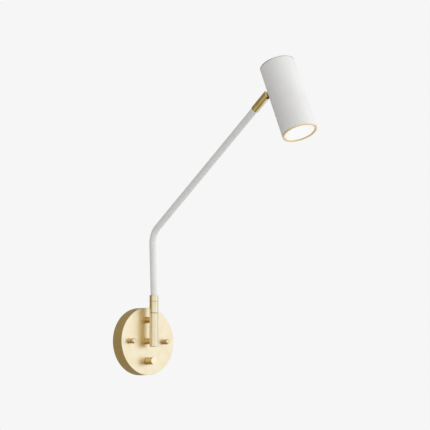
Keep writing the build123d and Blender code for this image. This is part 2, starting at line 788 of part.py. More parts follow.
# ---- Arm tube: upright in the sleeve, a slight lean, one elbow, then the long run ----
tube_end = arm_point(fork_start - screw_gap)
with BuildPart() as arm_tube:
    with BuildLine() as arm_route:
        FilletPolyline(
            (0, post_y, tube_foot),
            (0, post_y, tube_lean_start),
            (0, corner_y, corner_z),
            tube_end,
            radius=(lean_r, elbow_r),
        )
    with BuildSketch(post_plane(tube_foot)):
        Circle(tube_r)
        Circle(tube_bore_r, mode=Mode.SUBTRACT)
    sweep(path=arm_route.wires()[0])
arm_tube.part.label = "arm_tube"
export_step(arm_tube.part, "parts/arm_tube.step")

# ---- Knuckle: collar over the tube's end, and the slotted fork plugged into the tube ----
with BuildPart() as knuckle_collar:
    with BuildSketch(arm_plane(knuckle_collar_start)):
        Circle(knuckle_r)
    extrude(amount=knuckle_collar_end - knuckle_collar_start)
    chamfer(knuckle_collar.edges().filter_by(GeomType.CIRCLE), length=knuckle_collar_edge)
    with BuildSketch(arm_plane(knuckle_collar_start)):
        Circle(tube_r + screw_gap)
    extrude(amount=knuckle_collar_end - knuckle_collar_start, mode=Mode.SUBTRACT)
knuckle_collar.part.label = "knuckle_collar"
export_step(knuckle_collar.part, "parts/knuckle_collar.step")

with BuildPart() as knuckle_fork:
    with BuildSketch(arm_plane(fork_start)):
        Circle(knuckle_r)
    extrude(amount=fork_end - fork_start)
    chamfer(knuckle_fork.faces().sort_by(Axis.Z)[0].edges(), length=seam_edge)
    fillet(knuckle_fork.faces().sort_by(Axis.Z)[-1].edges(), radius=fork_edge_r)
    with BuildSketch(arm_plane(fork_spigot_start)):
        Circle(fork_spigot_r)
    extrude(amount=fork_start - fork_spigot_start)
    with BuildSketch(arm_plane(fork_spigot_start)):
        Circle(fork_bore_r)
    extrude(amount=slot_bottom - fork_spigot_start, mode=Mode.SUBTRACT)
    with BuildSketch(arm_plane(slot_bottom)):
        Rectangle(2 * slot_half, 4 * knuckle_r)
    extrude(amount=fork_end - slot_bottom, mode=Mode.SUBTRACT)
    with BuildSketch(pivot_plane(near_hole_end)):
        Circle(pin_hole_r)
    extrude(amount=-near_hole_end, mode=Mode.SUBTRACT)
    with BuildSketch(pivot_plane(0)):
        Circle(shoulder_hole_r)
    extrude(amount=knuckle_r, mode=Mode.SUBTRACT)
    with BuildSketch(pivot_plane(pin_head_seat)):
        Circle(pin_head_r + screw_gap)
    extrude(amount=knuckle_r, mode=Mode.SUBTRACT)
knuckle_fork.part.label = "knuckle_fork"
export_step(knuckle_fork.part, "parts/knuckle_fork.step")

# ---- Shoulder screw: threaded in the near cheek, headed in the far one ----
with BuildPart() as pivot_screw:
    with BuildSketch(pivot_plane(near_hole_end + pin_tip_gap)):
        Circle(pin_r)
    extrude(amount=shoulder_start - near_hole_end - pin_tip_gap)
    with BuildSketch(pivot_plane(shoulder_start)):
        Circle(shoulder_r)
    extrude(amount=pin_head_seat - shoulder_start)
    with BuildSketch(pivot_plane(pin_head_seat)):
        Circle(pin_head_r)
    extrude(amount=pin_head_end - pin_head_seat)
    with BuildSketch(pivot_plane(pin_head_end)):
        Rectangle(2 * pin_head_r, pin_slot_width)
    extrude(amount=-pin_slot_depth, mode=Mode.SUBTRACT)
pivot_screw.part.label = "pivot_screw"
export_step(pivot_screw.part, "parts/pivot_screw.step")

with BuildPart() as friction_washer:
    with BuildSketch(pivot_plane(-slot_half)):
        Circle(friction_washer_r)
        Circle(pin_hole_r, mode=Mode.SUBTRACT)
    extrude(amount=tongue_near + slot_half - running_gap)
friction_washer.part.label = "friction_washer"
export_step(friction_washer.part, "parts/friction_washer.step")

# ---- Head lug: a boss on the shell, a thin tongue in the fork, a stud through the shell ----
with BuildPart() as head_lug:
    with BuildSketch(lug_plane(shell_bore_r)):
        Circle(lug_boss_r)
    extrude(amount=lug_boss_top - shell_bore_r)
    with BuildSketch(head_plane(pivot_from_middle)):
        Circle(head_r + screw_gap)
    extrude(amount=2 * lug_boss_r, both=True, mode=Mode.SUBTRACT)
    with BuildSketch(side_plane(tongue_near)):
        with Locations(((lug_boss_top - pivot_from_axis - tongue_root) / 2, 0)):
            Rectangle(pivot_from_axis - lug_boss_top + tongue_root, 2 * tongue_half)
        Circle(tongue_half)
    extrude(amount=tongue_far - tongue_near)
    with BuildSketch(side_plane(tongue_near)):
        Circle(pin_hole_r)
    extrude(amount=tongue_far - tongue_near, mode=Mode.SUBTRACT)
    with BuildSketch(lug_plane(lug_stud_end)):
        Circle(lug_stud_r)
    extrude(amount=lug_stud_root - lug_stud_end)
    with BuildSketch(lug_plane(lug_stud_end, lug_wire_x)):
        Circle(lug_wire_r)
    extrude(amount=lug_boss_top - lug_stud_end, mode=Mode.SUBTRACT)
head_lug.part.label = "head_lug"
export_step(head_lug.part, "parts/head_lug.step")

# ---- Head shell: white tube with the lug's hole ----
with BuildPart() as head_shell:
    with BuildSketch(head_plane(-head_half + ring_edge)):
        Circle(head_r)
        Circle(shell_bore_r, mode=Mode.SUBTRACT)
    extrude(amount=head_length - ring_edge - cap_edge)
    with BuildSketch(lug_plane(0)):
        Circle(lug_stud_r + screw_gap)
    extrude(amount=2 * head_r, mode=Mode.SUBTRACT)
    with BuildSketch(head_plane(snap_start - screw_gap)):
        Circle(shell_bore_r + snap_groove_depth)
        Circle(snap_ring_bore_r, mode=Mode.SUBTRACT)
    extrude(amount=snap_ring_depth + 2 * screw_gap, mode=Mode.SUBTRACT)
head_shell.part.label = "head_shell"
export_step(head_shell.part, "parts/head_shell.step")

with BuildPart() as back_cap:
    with BuildSketch(head_plane(head_half - cap_edge)):
        Circle(head_r)
    extrude(amount=cap_edge)
    chamfer(back_cap.faces().sort_by(Axis.Z)[-1].edges(), length=cap_chamfer)
    with BuildSketch(head_plane(head_half - cap_edge)):
        Circle(shell_bore_r - bore_gap)
        Circle(shell_bore_r - bore_gap - cap_wall, mode=Mode.SUBTRACT)
    extrude(amount=-cap_spigot_depth)
    with BuildSketch(head_plane(o_ring_back - o_ring_groove_width / 2)):
        Circle(shell_bore_r)
        Circle(shell_bore_r - o_ring_groove_depth, mode=Mode.SUBTRACT)
    extrude(amount=o_ring_groove_width, mode=Mode.SUBTRACT)
back_cap.part.label = "back_cap"
export_step(back_cap.part, "parts/back_cap.step")

# ---- Front ring: bright edge, conical lip, and a spigot inside the shell ----
with BuildPart() as front_ring:
    with BuildSketch(head_plane(-head_half)):
        Circle(head_r)
    extrude(amount=ring_edge)
    chamfer(front_ring.faces().sort_by(Axis.Z)[0].edges(), length=ring_chamfer)
    with BuildSketch(head_plane(-head_half + ring_edge)):
        Circle(shell_bore_r - bore_gap)
    extrude(amount=ring_depth - ring_edge)
    with BuildSketch(head_plane(-head_half + ring_edge)):
        Circle(ring_bore_r)
    extrude(amount=ring_depth, mode=Mode.SUBTRACT)
    with BuildSketch(head_plane(-head_half)):
        Circle(ring_lip_mouth_r)
    with BuildSketch(head_plane(-head_half + ring_edge)):
        Circle(ring_lip_r)
    loft(mode=Mode.SUBTRACT)
front_ring.part.label = "front_ring"
export_step(front_ring.part, "parts/front_ring.step")

with BuildPart() as diffuser:
    with BuildSketch(head_plane(diffuser_front)):
        Circle(ring_bore_r - bore_gap)
    extrude(amount=diffuser_depth)
diffuser.part.label = "diffuser"
export_step(diffuser.part, "parts/diffuser.step")

with BuildPart() as diffuser_gasket:
    with BuildSketch(head_plane(diffuser_front + diffuser_depth)):
        Circle(ring_bore_r - bore_gap)
        Circle(reflector_mouth_r, mode=Mode.SUBTRACT)
    extrude(amount=gasket_depth)
diffuser_gasket.part.label = "diffuser_gasket"
export_step(diffuser_gasket.part, "parts/diffuser_gasket.step")

# ---- Reflector: a straight cone from the LED to the diffuser ----
with BuildPart() as reflector:
    with BuildSketch(head_plane(reflector_front)):
        Circle(reflector_mouth_r + reflector_wall)
    with BuildSketch(head_plane(reflector_back)):
        Circle(reflector_throat_r + reflector_wall)
    loft()
    with BuildSketch(head_plane(reflector_front)):
        Circle(reflector_mouth_r)
    with BuildSketch(head_plane(reflector_back)):
        Circle(reflector_throat_r)
    loft(mode=Mode.SUBTRACT)
reflector.part.label = "reflector"
export_step(reflector.part, "parts/reflector.step")

# ---- LED board, LED and board screws on the heat sink's face ----
with BuildPart() as led_board:
    with BuildSketch(head_plane(sink_front - board_depth)):
        Circle(board_r)
        with PolarLocations(board_screw_circle, 2):
            Circle(board_screw_r + screw_gap, mode=Mode.SUBTRACT)
    extrude(amount=board_depth)
led_board.part.label = "led_board"
export_step(led_board.part, "parts/led_board.step")

with BuildPart() as led_chip:
    with BuildSketch(head_plane(sink_front - board_depth)):
        RectangleRounded(2 * chip_half, 2 * chip_half, chip_corner_r)
    extrude(amount=-chip_depth)
led_chip.part.label = "led_chip"
export_step(led_chip.part, "parts/led_chip.step")

with BuildPart() as board_screws:
    with BuildSketch(head_plane(sink_front - board_depth)):
        with PolarLocations(board_screw_circle, 2):
            Circle(board_screw_r)
    extrude(amount=board_depth + board_screw_reach)
    with BuildSketch(head_plane(sink_front - board_depth)):
        with PolarLocations(board_screw_circle, 2):
            Circle(board_screw_head_r)
    extrude(amount=-board_screw_head_depth)
    with BuildSketch(head_plane(sink_front - board_depth - board_screw_head_depth)):
        with PolarLocations(board_screw_circle, 2):
            Rectangle(2 * board_screw_head_r, board_slot_width)
    extrude(amount=board_slot_depth, mode=Mode.SUBTRACT)
board_screws.part.label = "board_screws"
export_step(board_screws.part, "parts/board_screws.step")

# ---- Heat sink: round base with straight fins behind it, trimmed to the shell's bore ----
with BuildPart() as heat_sink:
    with BuildSketch(head_plane(sink_front)):
        Circle(sink_r)
        with Locations((sink_wire_x, sink_wire_y)):
            Circle(sink_wire_r, mode=Mode.SUBTRACT)
    extrude(amount=sink_base_depth)
    with BuildSketch(head_plane(sink_front + sink_base_depth)):
        with GridLocations(sink_fin_pitch, 0, sink_fin_count, 1):
            Rectangle(sink_fin_width, 2 * sink_r)
        Circle(sink_r, mode=Mode.INTERSECT)
    extrude(amount=sink_fin_depth)
    with BuildSketch(head_plane(sink_front)):
        with PolarLocations(board_screw_circle, 2):
            Circle(board_screw_r + screw_gap)
    extrude(amount=board_screw_reach + shaft_end_gap, mode=Mode.SUBTRACT)
heat_sink.part.label = "heat_sink"
export_step(heat_sink.part, "parts/heat_sink.step")

# ---- Snap ring behind the heat sink, in the shell's groove ----
with BuildPart() as snap_ring:
    with BuildSketch(head_plane(snap_start)):
        Circle(shell_bore_r + snap_groove_depth - screw_gap)
        Circle(snap_ring_bore_r, mode=Mode.SUBTRACT)
        with Locations((0, -shell_bore_r)):
            Rectangle(snap_ring_opening, snap_ring_opening, mode=Mode.SUBTRACT)
    extrude(amount=snap_ring_depth)
snap_ring.part.label = "snap_ring"
export_step(snap_ring.part, "parts/snap_ring.step")

# ---- O-ring on the back cap's spigot ----
with BuildPart() as cap_o_ring:
    with BuildSketch(side_plane(0)):
        with Locations((o_ring_r - pivot_from_axis, o_ring_back - pivot_from_middle)):
            Circle(o_ring_wire_r)
    revolve(axis=Axis((0, head_y, head_z), (0, tilt_sin, tilt_cos)))
cap_o_ring.part.label = "cap_o_ring"
export_step(cap_o_ring.part, "parts/cap_o_ring.step")

# ---- Washer and nut that hold the lug inside the shell ----
lug_nut_seat = sqrt(shell_bore_r**2 - lug_washer_r**2) - lug_washer_depth - screw_gap
with BuildPart() as lug_washer:
    with BuildSketch(lug_plane(lug_nut_seat)):
        Circle(lug_washer_r)
        Circle(lug_stud_r + screw_gap, mode=Mode.SUBTRACT)
    extrude(amount=lug_washer_depth)
lug_washer.part.label = "lug_washer"
export_step(lug_washer.part, "parts/lug_washer.step")

with BuildPart() as lug_nut:
    with BuildSketch(lug_plane(lug_nut_seat)):
        RegularPolygon(lug_nut_across / 2, 6, major_radius=False)
        Circle(lug_stud_r + screw_gap, mode=Mode.SUBTRACT)
    extrude(amount=-lug_nut_depth)
lug_nut.part.label = "lug_nut"
export_step(lug_nut.part, "parts/lug_nut.step")

# ---- Leads: each follows its real route inside; the flexing bits over the joints are left out ----
with BuildPart() as supply_lead:
    with BuildLine() as supply_route:
        FilletPolyline(
            (supply_lead_x, -terminal_wire_out, terminal_z + terminal_height / 2 + lead_end_gap),
            (supply_lead_turn_x, -lead_out, lead_turn_z),
            (supply_lead_top_x, -lead_out, driver_z),
            (-driver_width / 2 - lead_end_gap, -lead_out, driver_z),
            radius=supply_lead_bends,
        )
    with BuildSketch(Plane(supply_route.wires()[0] ^ 0)):
        Circle(lead_r)
    sweep(path=supply_route.wires()[0])
supply_lead.part.label = "supply_lead"
export_step(supply_lead.part, "parts/supply_lead.step")

with BuildPart() as dimmer_lead:
    with BuildLine() as dimmer_route:
        FilletPolyline(
            (dimmer_r + dimmer_lead_start, -dimmer_lead_out, dimmer_z),
            (dimmer_lead_side_x, -dimmer_lead_side_out, dimmer_lead_side_z),
            (dimmer_lead_turn_x, -lead_out, lead_turn_z),
            (dimmer_lead_top_x, -lead_out, driver_z),
            (driver_width / 2 + lead_end_gap, -lead_out, driver_z),
            radius=dimmer_lead_bends,
        )
    with BuildSketch(Plane(dimmer_route.wires()[0] ^ 0)):
        Circle(lead_r)
    sweep(path=dimmer_route.wires()[0])
dimmer_lead.part.label = "dimmer_lead"
export_step(dimmer_lead.part, "parts/dimmer_lead.step")

with BuildPart() as post_lead:
    with BuildLine() as post_lead_route:
        FilletPolyline(
            (0, -post_lead_out, driver_z - driver_height / 2 - lead_end_gap),
            (0, -post_lead_out, standoff_lower_z),
            (0, post_y, standoff_lower_z),
            (0, post_y, spindle_bottom - joint_lead_gap),
            radius=post_lead_bends,
        )
    with BuildSketch(Plane(post_lead_route.wires()[0] ^ 0)):
        Circle(lead_r)
    sweep(path=post_lead_route.wires()[0])
post_lead.part.label = "post_lead"
export_step(post_lead.part, "parts/post_lead.step")

with BuildPart() as arm_lead:
    with BuildLine() as arm_lead_route:
        FilletPolyline(
            (0, post_y, spindle_bottom),
            (0, post_y, tube_lean_start),
            (0, corner_y, corner_z),
            arm_point(slot_bottom - joint_lead_gap),
            radius=(lean_r, elbow_r),
        )
    with BuildSketch(Plane(arm_lead_route.wires()[0] ^ 0)):
        Circle(lead_r)
    sweep(path=arm_lead_route.wires()[0])
arm_lead.part.label = "arm_lead"
export_step(arm_lead.part, "parts/arm_lead.step")

with BuildPart() as head_lead:
    with BuildLine() as head_lead_route:
        FilletPolyline(
            head_point(lug_boss_top + joint_lead_gap, pivot_from_middle, lug_wire_x),
            head_point(sink_wire_y, pivot_from_middle, lug_wire_x),
            head_point(sink_wire_y, sink_front + lead_end_gap, sink_wire_x),
            radius=head_lead_bend,
        )
    with BuildSketch(Plane(head_lead_route.wires()[0] ^ 0)):
        Circle(lead_r)
    sweep(path=head_lead_route.wires()[0])
head_lead.part.label = "head_lead"
export_step(head_lead.part, "parts/head_lead.step")
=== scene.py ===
import json
import math

import bpy
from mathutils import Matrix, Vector


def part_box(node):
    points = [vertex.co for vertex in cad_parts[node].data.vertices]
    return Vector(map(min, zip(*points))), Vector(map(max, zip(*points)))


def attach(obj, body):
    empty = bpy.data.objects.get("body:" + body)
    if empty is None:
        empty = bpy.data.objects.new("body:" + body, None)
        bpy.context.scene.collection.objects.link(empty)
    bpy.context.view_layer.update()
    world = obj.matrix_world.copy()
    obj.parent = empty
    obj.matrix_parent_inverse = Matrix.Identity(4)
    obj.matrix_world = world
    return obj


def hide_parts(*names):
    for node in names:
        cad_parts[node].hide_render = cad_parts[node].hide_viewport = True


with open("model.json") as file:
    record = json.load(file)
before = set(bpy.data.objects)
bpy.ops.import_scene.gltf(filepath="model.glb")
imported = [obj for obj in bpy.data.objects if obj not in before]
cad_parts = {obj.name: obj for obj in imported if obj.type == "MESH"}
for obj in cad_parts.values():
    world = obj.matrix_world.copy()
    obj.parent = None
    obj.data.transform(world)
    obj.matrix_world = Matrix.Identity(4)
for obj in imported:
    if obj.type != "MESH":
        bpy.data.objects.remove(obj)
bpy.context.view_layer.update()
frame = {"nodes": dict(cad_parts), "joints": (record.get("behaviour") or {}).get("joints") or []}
mm = 0.001

# ---- Camera ----
# A long lens four metres off, to the left of the lamp and a little below it, as in the
# photograph: the canopy's ellipse gives the angle round, the upright post gives the tilt.
view_azimuth = math.radians(-41.437)
view_elevation = math.radians(-5.184)
view_distance = 4.0
view_target = Vector((0.023193, -0.180, 0.217099))


def towards(azimuth, elevation):
    """Unit vector at an angle round from straight out of the wall, and an angle up."""
    level = math.cos(elevation)
    return Vector((math.sin(azimuth) * level, -math.cos(azimuth) * level, math.sin(elevation)))


view_from = towards(view_azimuth, view_elevation)
bpy.ops.object.camera_add(location=view_target + view_distance * view_from)
camera = bpy.context.object
camera.name = "camera"
camera.rotation_euler = (-view_from).to_track_quat("-Z", "Y").to_euler()
camera.data.sensor_width = 36.0
camera.data.lens = 191.63
camera.data.clip_start = 0.1
camera.data.clip_end = 60.0
bpy.context.scene.camera = camera
bpy.context.scene.view_settings.view_transform = "Standard"


# ---- Studio: pale surround, pale floor and one soft lamp ----
# The light grades softly from left to right, and polished metal sees a bright room in front
# and a dim warm one behind the wall's plane. The floor lies a bed's height below the lamp.
def add_node(tree, kind, **values):
    """Adds a node to a tree and sets its plain properties."""
    node = tree.nodes.new(kind)
    for key, value in values.items():
        setattr(node, key, value)
    return node


def join(tree, value, socket):
    """Gives a socket a number or a colour, or links an output to it."""
    if isinstance(value, bpy.types.NodeSocket):
        tree.links.new(value, socket)
    else:
        socket.default_value = value


def work_out(tree, operation, *values):
    """A Math node on sockets or numbers; gives its output."""
    node = add_node(tree, "ShaderNodeMath", operation=operation)
    for socket, value in zip(node.inputs, values):
        join(tree, value, socket)
    return node.outputs[0]


def mixed(tree, share, first, second):
    """Mixes two colours, where a share of 0 is the first and 1 the second; gives the result."""
    node = add_node(tree, "ShaderNodeMix", data_type="RGBA")
    for index, value in ((0, share), (6, first), (7, second)):
        join(tree, value, node.inputs[index])
    return node.outputs[2]


def eased(tree, value, low, high):
    """Goes smoothly from 0 to 1 while a value goes from low to high."""
    node = add_node(tree, "ShaderNodeMapRange", interpolation_type="SMOOTHSTEP")
    join(tree, value, node.inputs["Value"])
    node.inputs["From Min"].default_value = low
    node.inputs["From Max"].default_value = high
    return node.outputs[0]


def along(tree, place, direction):
    """How far a place lies along a direction, given as a unit vector."""
    node = add_node(tree, "ShaderNodeVectorMath", operation="DOT_PRODUCT")
    join(tree, place, node.inputs[0])
    node.inputs[1].default_value = direction
    return node.outputs["Value"]


def apart(tree, place):
    """The outputs X, Y and Z of a place."""
    node = add_node(tree, "ShaderNodeSeparateXYZ")
    join(tree, place, node.inputs[0])
    return node.outputs


def grey(level):
    """An opaque grey."""
    return (level, level, level, 1.0)


pale_ground = grey(0.922)
soft_left = grey(0.27)
soft_right = grey(1.40)
soft_side = towards(math.radians(48.0), math.radians(8.0))
room_front = (1.00, 1.08, 1.40, 1.0)
room_behind = (0.31, 0.255, 0.155, 1.0)
behind_to_front = (0.40, -0.35)

world = bpy.data.worlds.new("studio")
bpy.context.scene.world = world
world.use_nodes = True
tree = world.node_tree
tree.nodes.clear()
direction = add_node(tree, "ShaderNodeTexCoord").outputs["Generated"]
side_share = work_out(tree, "MULTIPLY_ADD", along(tree, direction, soft_side), 0.5, 0.5)
front_share = eased(tree, apart(tree, direction)["Y"], *behind_to_front)
rays = add_node(tree, "ShaderNodeLightPath").outputs
soft = mixed(tree, side_share, soft_left, soft_right)
gloss = mixed(tree, front_share, room_behind, room_front)
lit = mixed(tree, rays["Is Glossy Ray"], soft, gloss)
shown = work_out(tree, "MAXIMUM", rays["Is Camera Ray"], rays["Is Transmission Ray"])
surround = add_node(tree, "ShaderNodeBackground")
join(tree, mixed(tree, shown, lit, pale_ground), surround.inputs["Color"])
world_out = add_node(tree, "ShaderNodeOutputWorld")
join(tree, surround.outputs[0], world_out.inputs["Surface"])

floor_drop = 1.3
floor_size = 14.0
floor_glow = 0.88
floor_grey = grey(0.72)
room_under = (0.34, 0.30, 0.21, 1.0)
room_left = (0.62, 0.58, 0.46, 1.0)
under_to_left = (-0.70, -1.50)
under_to_front = (0.18, 1.20)
behind_to_under = (1.45, 0.65)
bpy.ops.object.select_all(action="DESELECT")
bpy.ops.mesh.primitive_plane_add(size=floor_size, location=(0, 0, -floor_drop))
floor = bpy.context.object
floor.name = "floor"
floor_paint = bpy.data.materials.new("floor_paint")
floor_paint.use_nodes = True
tree = floor_paint.node_tree
tree.nodes.clear()
matt = add_node(tree, "ShaderNodeBsdfDiffuse")
matt.inputs["Color"].default_value = floor_grey
rays = add_node(tree, "ShaderNodeLightPath").outputs
place = apart(tree, add_node(tree, "ShaderNodeTexCoord").outputs["Object"])
left_share = eased(tree, place["X"], *under_to_left)
right_share = eased(tree, place["X"], *under_to_front)
front_share = eased(tree, place["Y"], *behind_to_under)
sideways = mixed(tree, right_share, mixed(tree, left_share, room_under, room_left), room_front)
gloss = mixed(tree, front_share, room_behind, sideways)
ground = add_node(tree, "ShaderNodeEmission")
join(tree, mixed(tree, rays["Is Glossy Ray"], pale_ground, gloss), ground.inputs["Color"])
blend = add_node(tree, "ShaderNodeMixShader")
glow = work_out(tree, "MULTIPLY_ADD", rays["Is Camera Ray"], floor_glow, rays["Is Glossy Ray"])
join(tree, glow, blend.inputs[0])
join(tree, matt.outputs[0], blend.inputs[1])
join(tree, ground.outputs[0], blend.inputs[2])
floor_out = add_node(tree, "ShaderNodeOutputMaterial")
join(tree, blend.outputs[0], floor_out.inputs["Surface"])
floor.data.materials.append(floor_paint)

lamp_from = towards(math.radians(33.0), math.radians(4.0))
lamp_distance = 2.4
lamp_target = Vector((0, -0.1, 0.1))
bpy.ops.object.light_add(type="AREA", location=lamp_target + lamp_distance * lamp_from)
soft_lamp = bpy.context.object
soft_lamp.name = "soft_lamp"
soft_lamp.rotation_euler = (-lamp_from).to_track_quat("-Z", "Y").to_euler()
soft_lamp.data.shape = "DISK"
soft_lamp.data.size = 0.8
soft_lamp.data.energy = 0.7

# ---- Canopy cover ----
# The canopy is a spun brass cup, open towards the wall, with a small radius at its front edge.
# It is drilled for its two studs, the post's two screws and the dimmer, brushed and lacquered.
canopy_low, canopy_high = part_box("canopy_cover")
canopy_r = canopy_high.x
canopy_depth = -canopy_low.y
canopy_wall = 1.5 * mm
canopy_edge = 0.8 * mm
stud_x = 39.0 * mm
stud_hole_r = 2.05 * mm
standoff_heights = (38.0 * mm, 0.0)
standoff_hole_radii = (2.55 * mm, 3.05 * mm)
knob_z = -35.0 * mm
dimmer_hole_r = 3.55 * mm
out_of_wall = 90.0
longest_face = 12.0 * mm


def pick(piece):
    """Makes a piece the only selected object, and the active one."""
    bpy.ops.object.select_all(action="DESELECT")
    bpy.context.view_layer.objects.active = piece
    piece.select_set(True)


def put(piece, location=(0, 0, 0), tip=0.0):
    """Tips an upright piece out towards the room, moves it and keeps its place in its mesh."""
    pick(piece)
    piece.rotation_euler = (math.radians(tip), 0, 0)
    piece.location = location
    bpy.ops.object.transform_apply(location=True, rotation=True, scale=True)
    return piece


def turned(name, rings, sides=160):
    """Turns a piece about Z: a circle, extruded and resized through (radius, height) rings.

    A last ring that equals the first closes the section; otherwise both ends get a face."""
    bpy.ops.object.select_all(action="DESELECT")
    radius, height = rings[0]
    bpy.ops.mesh.primitive_circle_add(vertices=sides, radius=radius, location=(0, 0, height))
    piece = put(bpy.context.object, location=(0, 0, height))
    piece.name = name
    bpy.ops.object.mode_set(mode="EDIT")
    bpy.ops.mesh.select_all(action="SELECT")
    for next_radius, next_height in rings[1:]:
        rise = next_height - height
        steps = math.ceil(max(abs(rise), longest_face) / longest_face)
        for step in range(steps):
            lift = {"value": (0, 0, rise / steps)}
            bpy.ops.mesh.extrude_region_move(TRANSFORM_OT_translate=lift)
        grow = next_radius / radius
        bpy.ops.transform.resize(value=(grow, grow, 1))
        radius, height = next_radius, next_height
    bpy.ops.mesh.select_all(action="SELECT")
    bpy.ops.mesh.remove_doubles(threshold=1e-7)
    bpy.ops.mesh.select_all(action="DESELECT")
    bpy.ops.mesh.select_non_manifold()
    bpy.ops.mesh.edge_face_add()
    bpy.ops.mesh.select_all(action="SELECT")
    bpy.ops.mesh.normals_make_consistent(inside=False)
    bpy.ops.object.mode_set(mode="OBJECT")
    return piece


def worked(piece, kind, **values):
    """Adds a modifier to a piece, sets it and applies it."""
    pick(piece)
    modifier = piece.modifiers.new(kind.lower(), kind)
    for key, value in values.items():
        setattr(modifier, key, value)
    bpy.ops.object.modifier_apply(modifier=modifier.name)
    return piece


def edged(piece, width, segments=3):
    """Rounds every sharp edge of a piece a little, as deburring and polishing do."""
    sharp = math.radians(35)
    return worked(
        piece, "BEVEL", width=width, segments=segments, limit_method="ANGLE", angle_limit=sharp
    )


def cut(piece, *cutters):
    """Takes each cutter out of a piece, and deletes the cutter."""
    for cutter in cutters:
        worked(piece, "BOOLEAN", operation="DIFFERENCE", solver="EXACT", object=cutter)
        bpy.data.objects.remove(cutter, do_unlink=True)
    return piece


def peg(radius, start, end, location=(0, 0, 0), tip=0.0, sides=64):
    """A round cutter that stands between two heights before it is tipped and moved."""
    return put(turned("cutter", ((radius, start), (radius, end)), sides), location, tip)


def smoothed(piece, angle=32.0):
    """Smooth faces up to an angle, with large flat faces kept flat."""
    pick(piece)
    bpy.ops.object.shade_smooth_by_angle(angle=math.radians(angle))
    return worked(piece, "WEIGHTED_NORMAL", keep_sharp=True, weight=80)


def dressed(piece, paint, body, slot, *nodes):
    """Gives a new piece its material and its body, in place of its nodes; its slot is not used.
    """
    smoothed(piece)
    piece.data.materials.clear()
    piece.data.materials.append(paint)
    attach(piece, body)
    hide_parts(*nodes)


def coated(paint, *nodes):
    """Gives carried-over nodes their material."""
    for node in nodes:
        for material_slot in frame["nodes"][node].material_slots:
            material_slot.material = paint


def new_paint(name, **values):
    """A material with one Principled shader, whose plain values are set here."""
    paint = bpy.data.materials.new(name)
    paint.use_nodes = True
    tree = paint.node_tree
    tree.nodes.clear()
    shader = add_node(tree, "ShaderNodeBsdfPrincipled")
    for key, value in values.items():
        shader.inputs[key.replace("_", " ")].default_value = value
    paint_out = add_node(tree, "ShaderNodeOutputMaterial")
    join(tree, shader.outputs[0], paint_out.inputs["Surface"])
    place = add_node(tree, "ShaderNodeTexCoord").outputs["Object"]
    return paint, tree, shader, place


def cloud(tree, place, scale, detail=3.0):
    """Noise at a scale per metre, with its middle near 0.5."""
    node = add_node(tree, "ShaderNodeTexNoise")
    join(tree, place, node.inputs["Vector"])
    node.inputs["Scale"].default_value = scale
    node.inputs["Detail"].default_value = detail
    node.inputs["Roughness"].default_value = 0.55
    return node.outputs["Fac"]


def tinted(tree, shader, share, first, second):
    """Gives a shader a colour that goes from the first to the second with a share."""
    join(tree, mixed(tree, share, first, second), shader.inputs["Base Color"])


def roughened(tree, shader, grain, spread, least):
    """Gives a shader a roughness that rises from the least by a spread with a grain."""
    join(tree, work_out(tree, "MULTIPLY_ADD", grain, spread, least), shader.inputs["Roughness"])


def raised(tree, shader, height, depth):
    """Bump on a shader from a height between 0 and 1 and its depth in metres."""
    bump = add_node(tree, "ShaderNodeBump")
    bump.inputs["Distance"].default_value = depth
    join(tree, height, bump.inputs["Height"])
    join(tree, bump.outputs[0], shader.inputs["Normal"])


def turning_marks(tree, place, centre, tip):
    """Fine lines round a piece's own axis, on its faces and its sides alike."""
    centred = add_node(tree, "ShaderNodeMapping", vector_type="TEXTURE")
    join(tree, place, centred.inputs["Vector"])
    centred.inputs["Location"].default_value = centre
    centred.inputs["Rotation"].default_value = (math.radians(tip), 0, 0)
    parts = apart(tree, centred.outputs[0])
    across = add_node(tree, "ShaderNodeCombineXYZ")
    join(tree, parts["X"], across.inputs["X"])
    join(tree, parts["Y"], across.inputs["Y"])
    radius = add_node(tree, "ShaderNodeVectorMath", operation="LENGTH")
    join(tree, across.outputs[0], radius.inputs[0])
    travel = work_out(tree, "ADD", radius.outputs["Value"], parts["Z"])
    lines = add_node(tree, "ShaderNodeTexNoise", noise_dimensions="1D")
    join(tree, travel, lines.inputs["W"])
    lines.inputs["Scale"].default_value = 2600.0
    lines.inputs["Detail"].default_value = 4.0
    lines.inputs["Roughness"].default_value = 0.7
    return lines.outputs["Fac"]


brass_light = (0.870, 0.725, 0.395, 1.0)
brass_deep = (0.840, 0.680, 0.350, 1.0)
brass_roughness = 0.36


def satin_brass(
    name,
    centre=(0, 0, 0),
    tip=out_of_wall,
    light=brass_light,
    deep=brass_deep,
    roughness=brass_roughness,
):
    """Brushed and lacquered brass, with its marks round the piece's own axis."""
    paint, tree, shader, place = new_paint(
        name, Metallic=1.0, Coat_Weight=1.0, Coat_Roughness=0.28, Coat_IOR=1.7
    )
    patches = eased(tree, cloud(tree, place, 55.0, 4.0), 0.38, 0.66)
    tinted(tree, shader, patches, light, deep)
    marks = turning_marks(tree, place, centre, tip)
    uneven = work_out(tree, "ADD", cloud(tree, place, 240.0), marks)
    roughened(tree, shader, uneven, 0.10, roughness - 0.10)
    raised(tree, shader, marks, 2.5e-6)
    return paint


def painted_front_highlight(paint, start, end, colour):
    """Paints a highlight on the front of a piece: a paler colour from one Y to another, a painted
    highlight.
    """
    tree = paint.node_tree
    base = tree.nodes["Principled BSDF"].inputs["Base Color"]
    place = tree.nodes["Texture Coordinate"].outputs["Object"]
    share = eased(tree, apart(tree, place)["Y"], start, end)
    join(tree, mixed(tree, share, base.links[0].from_socket, colour), base)


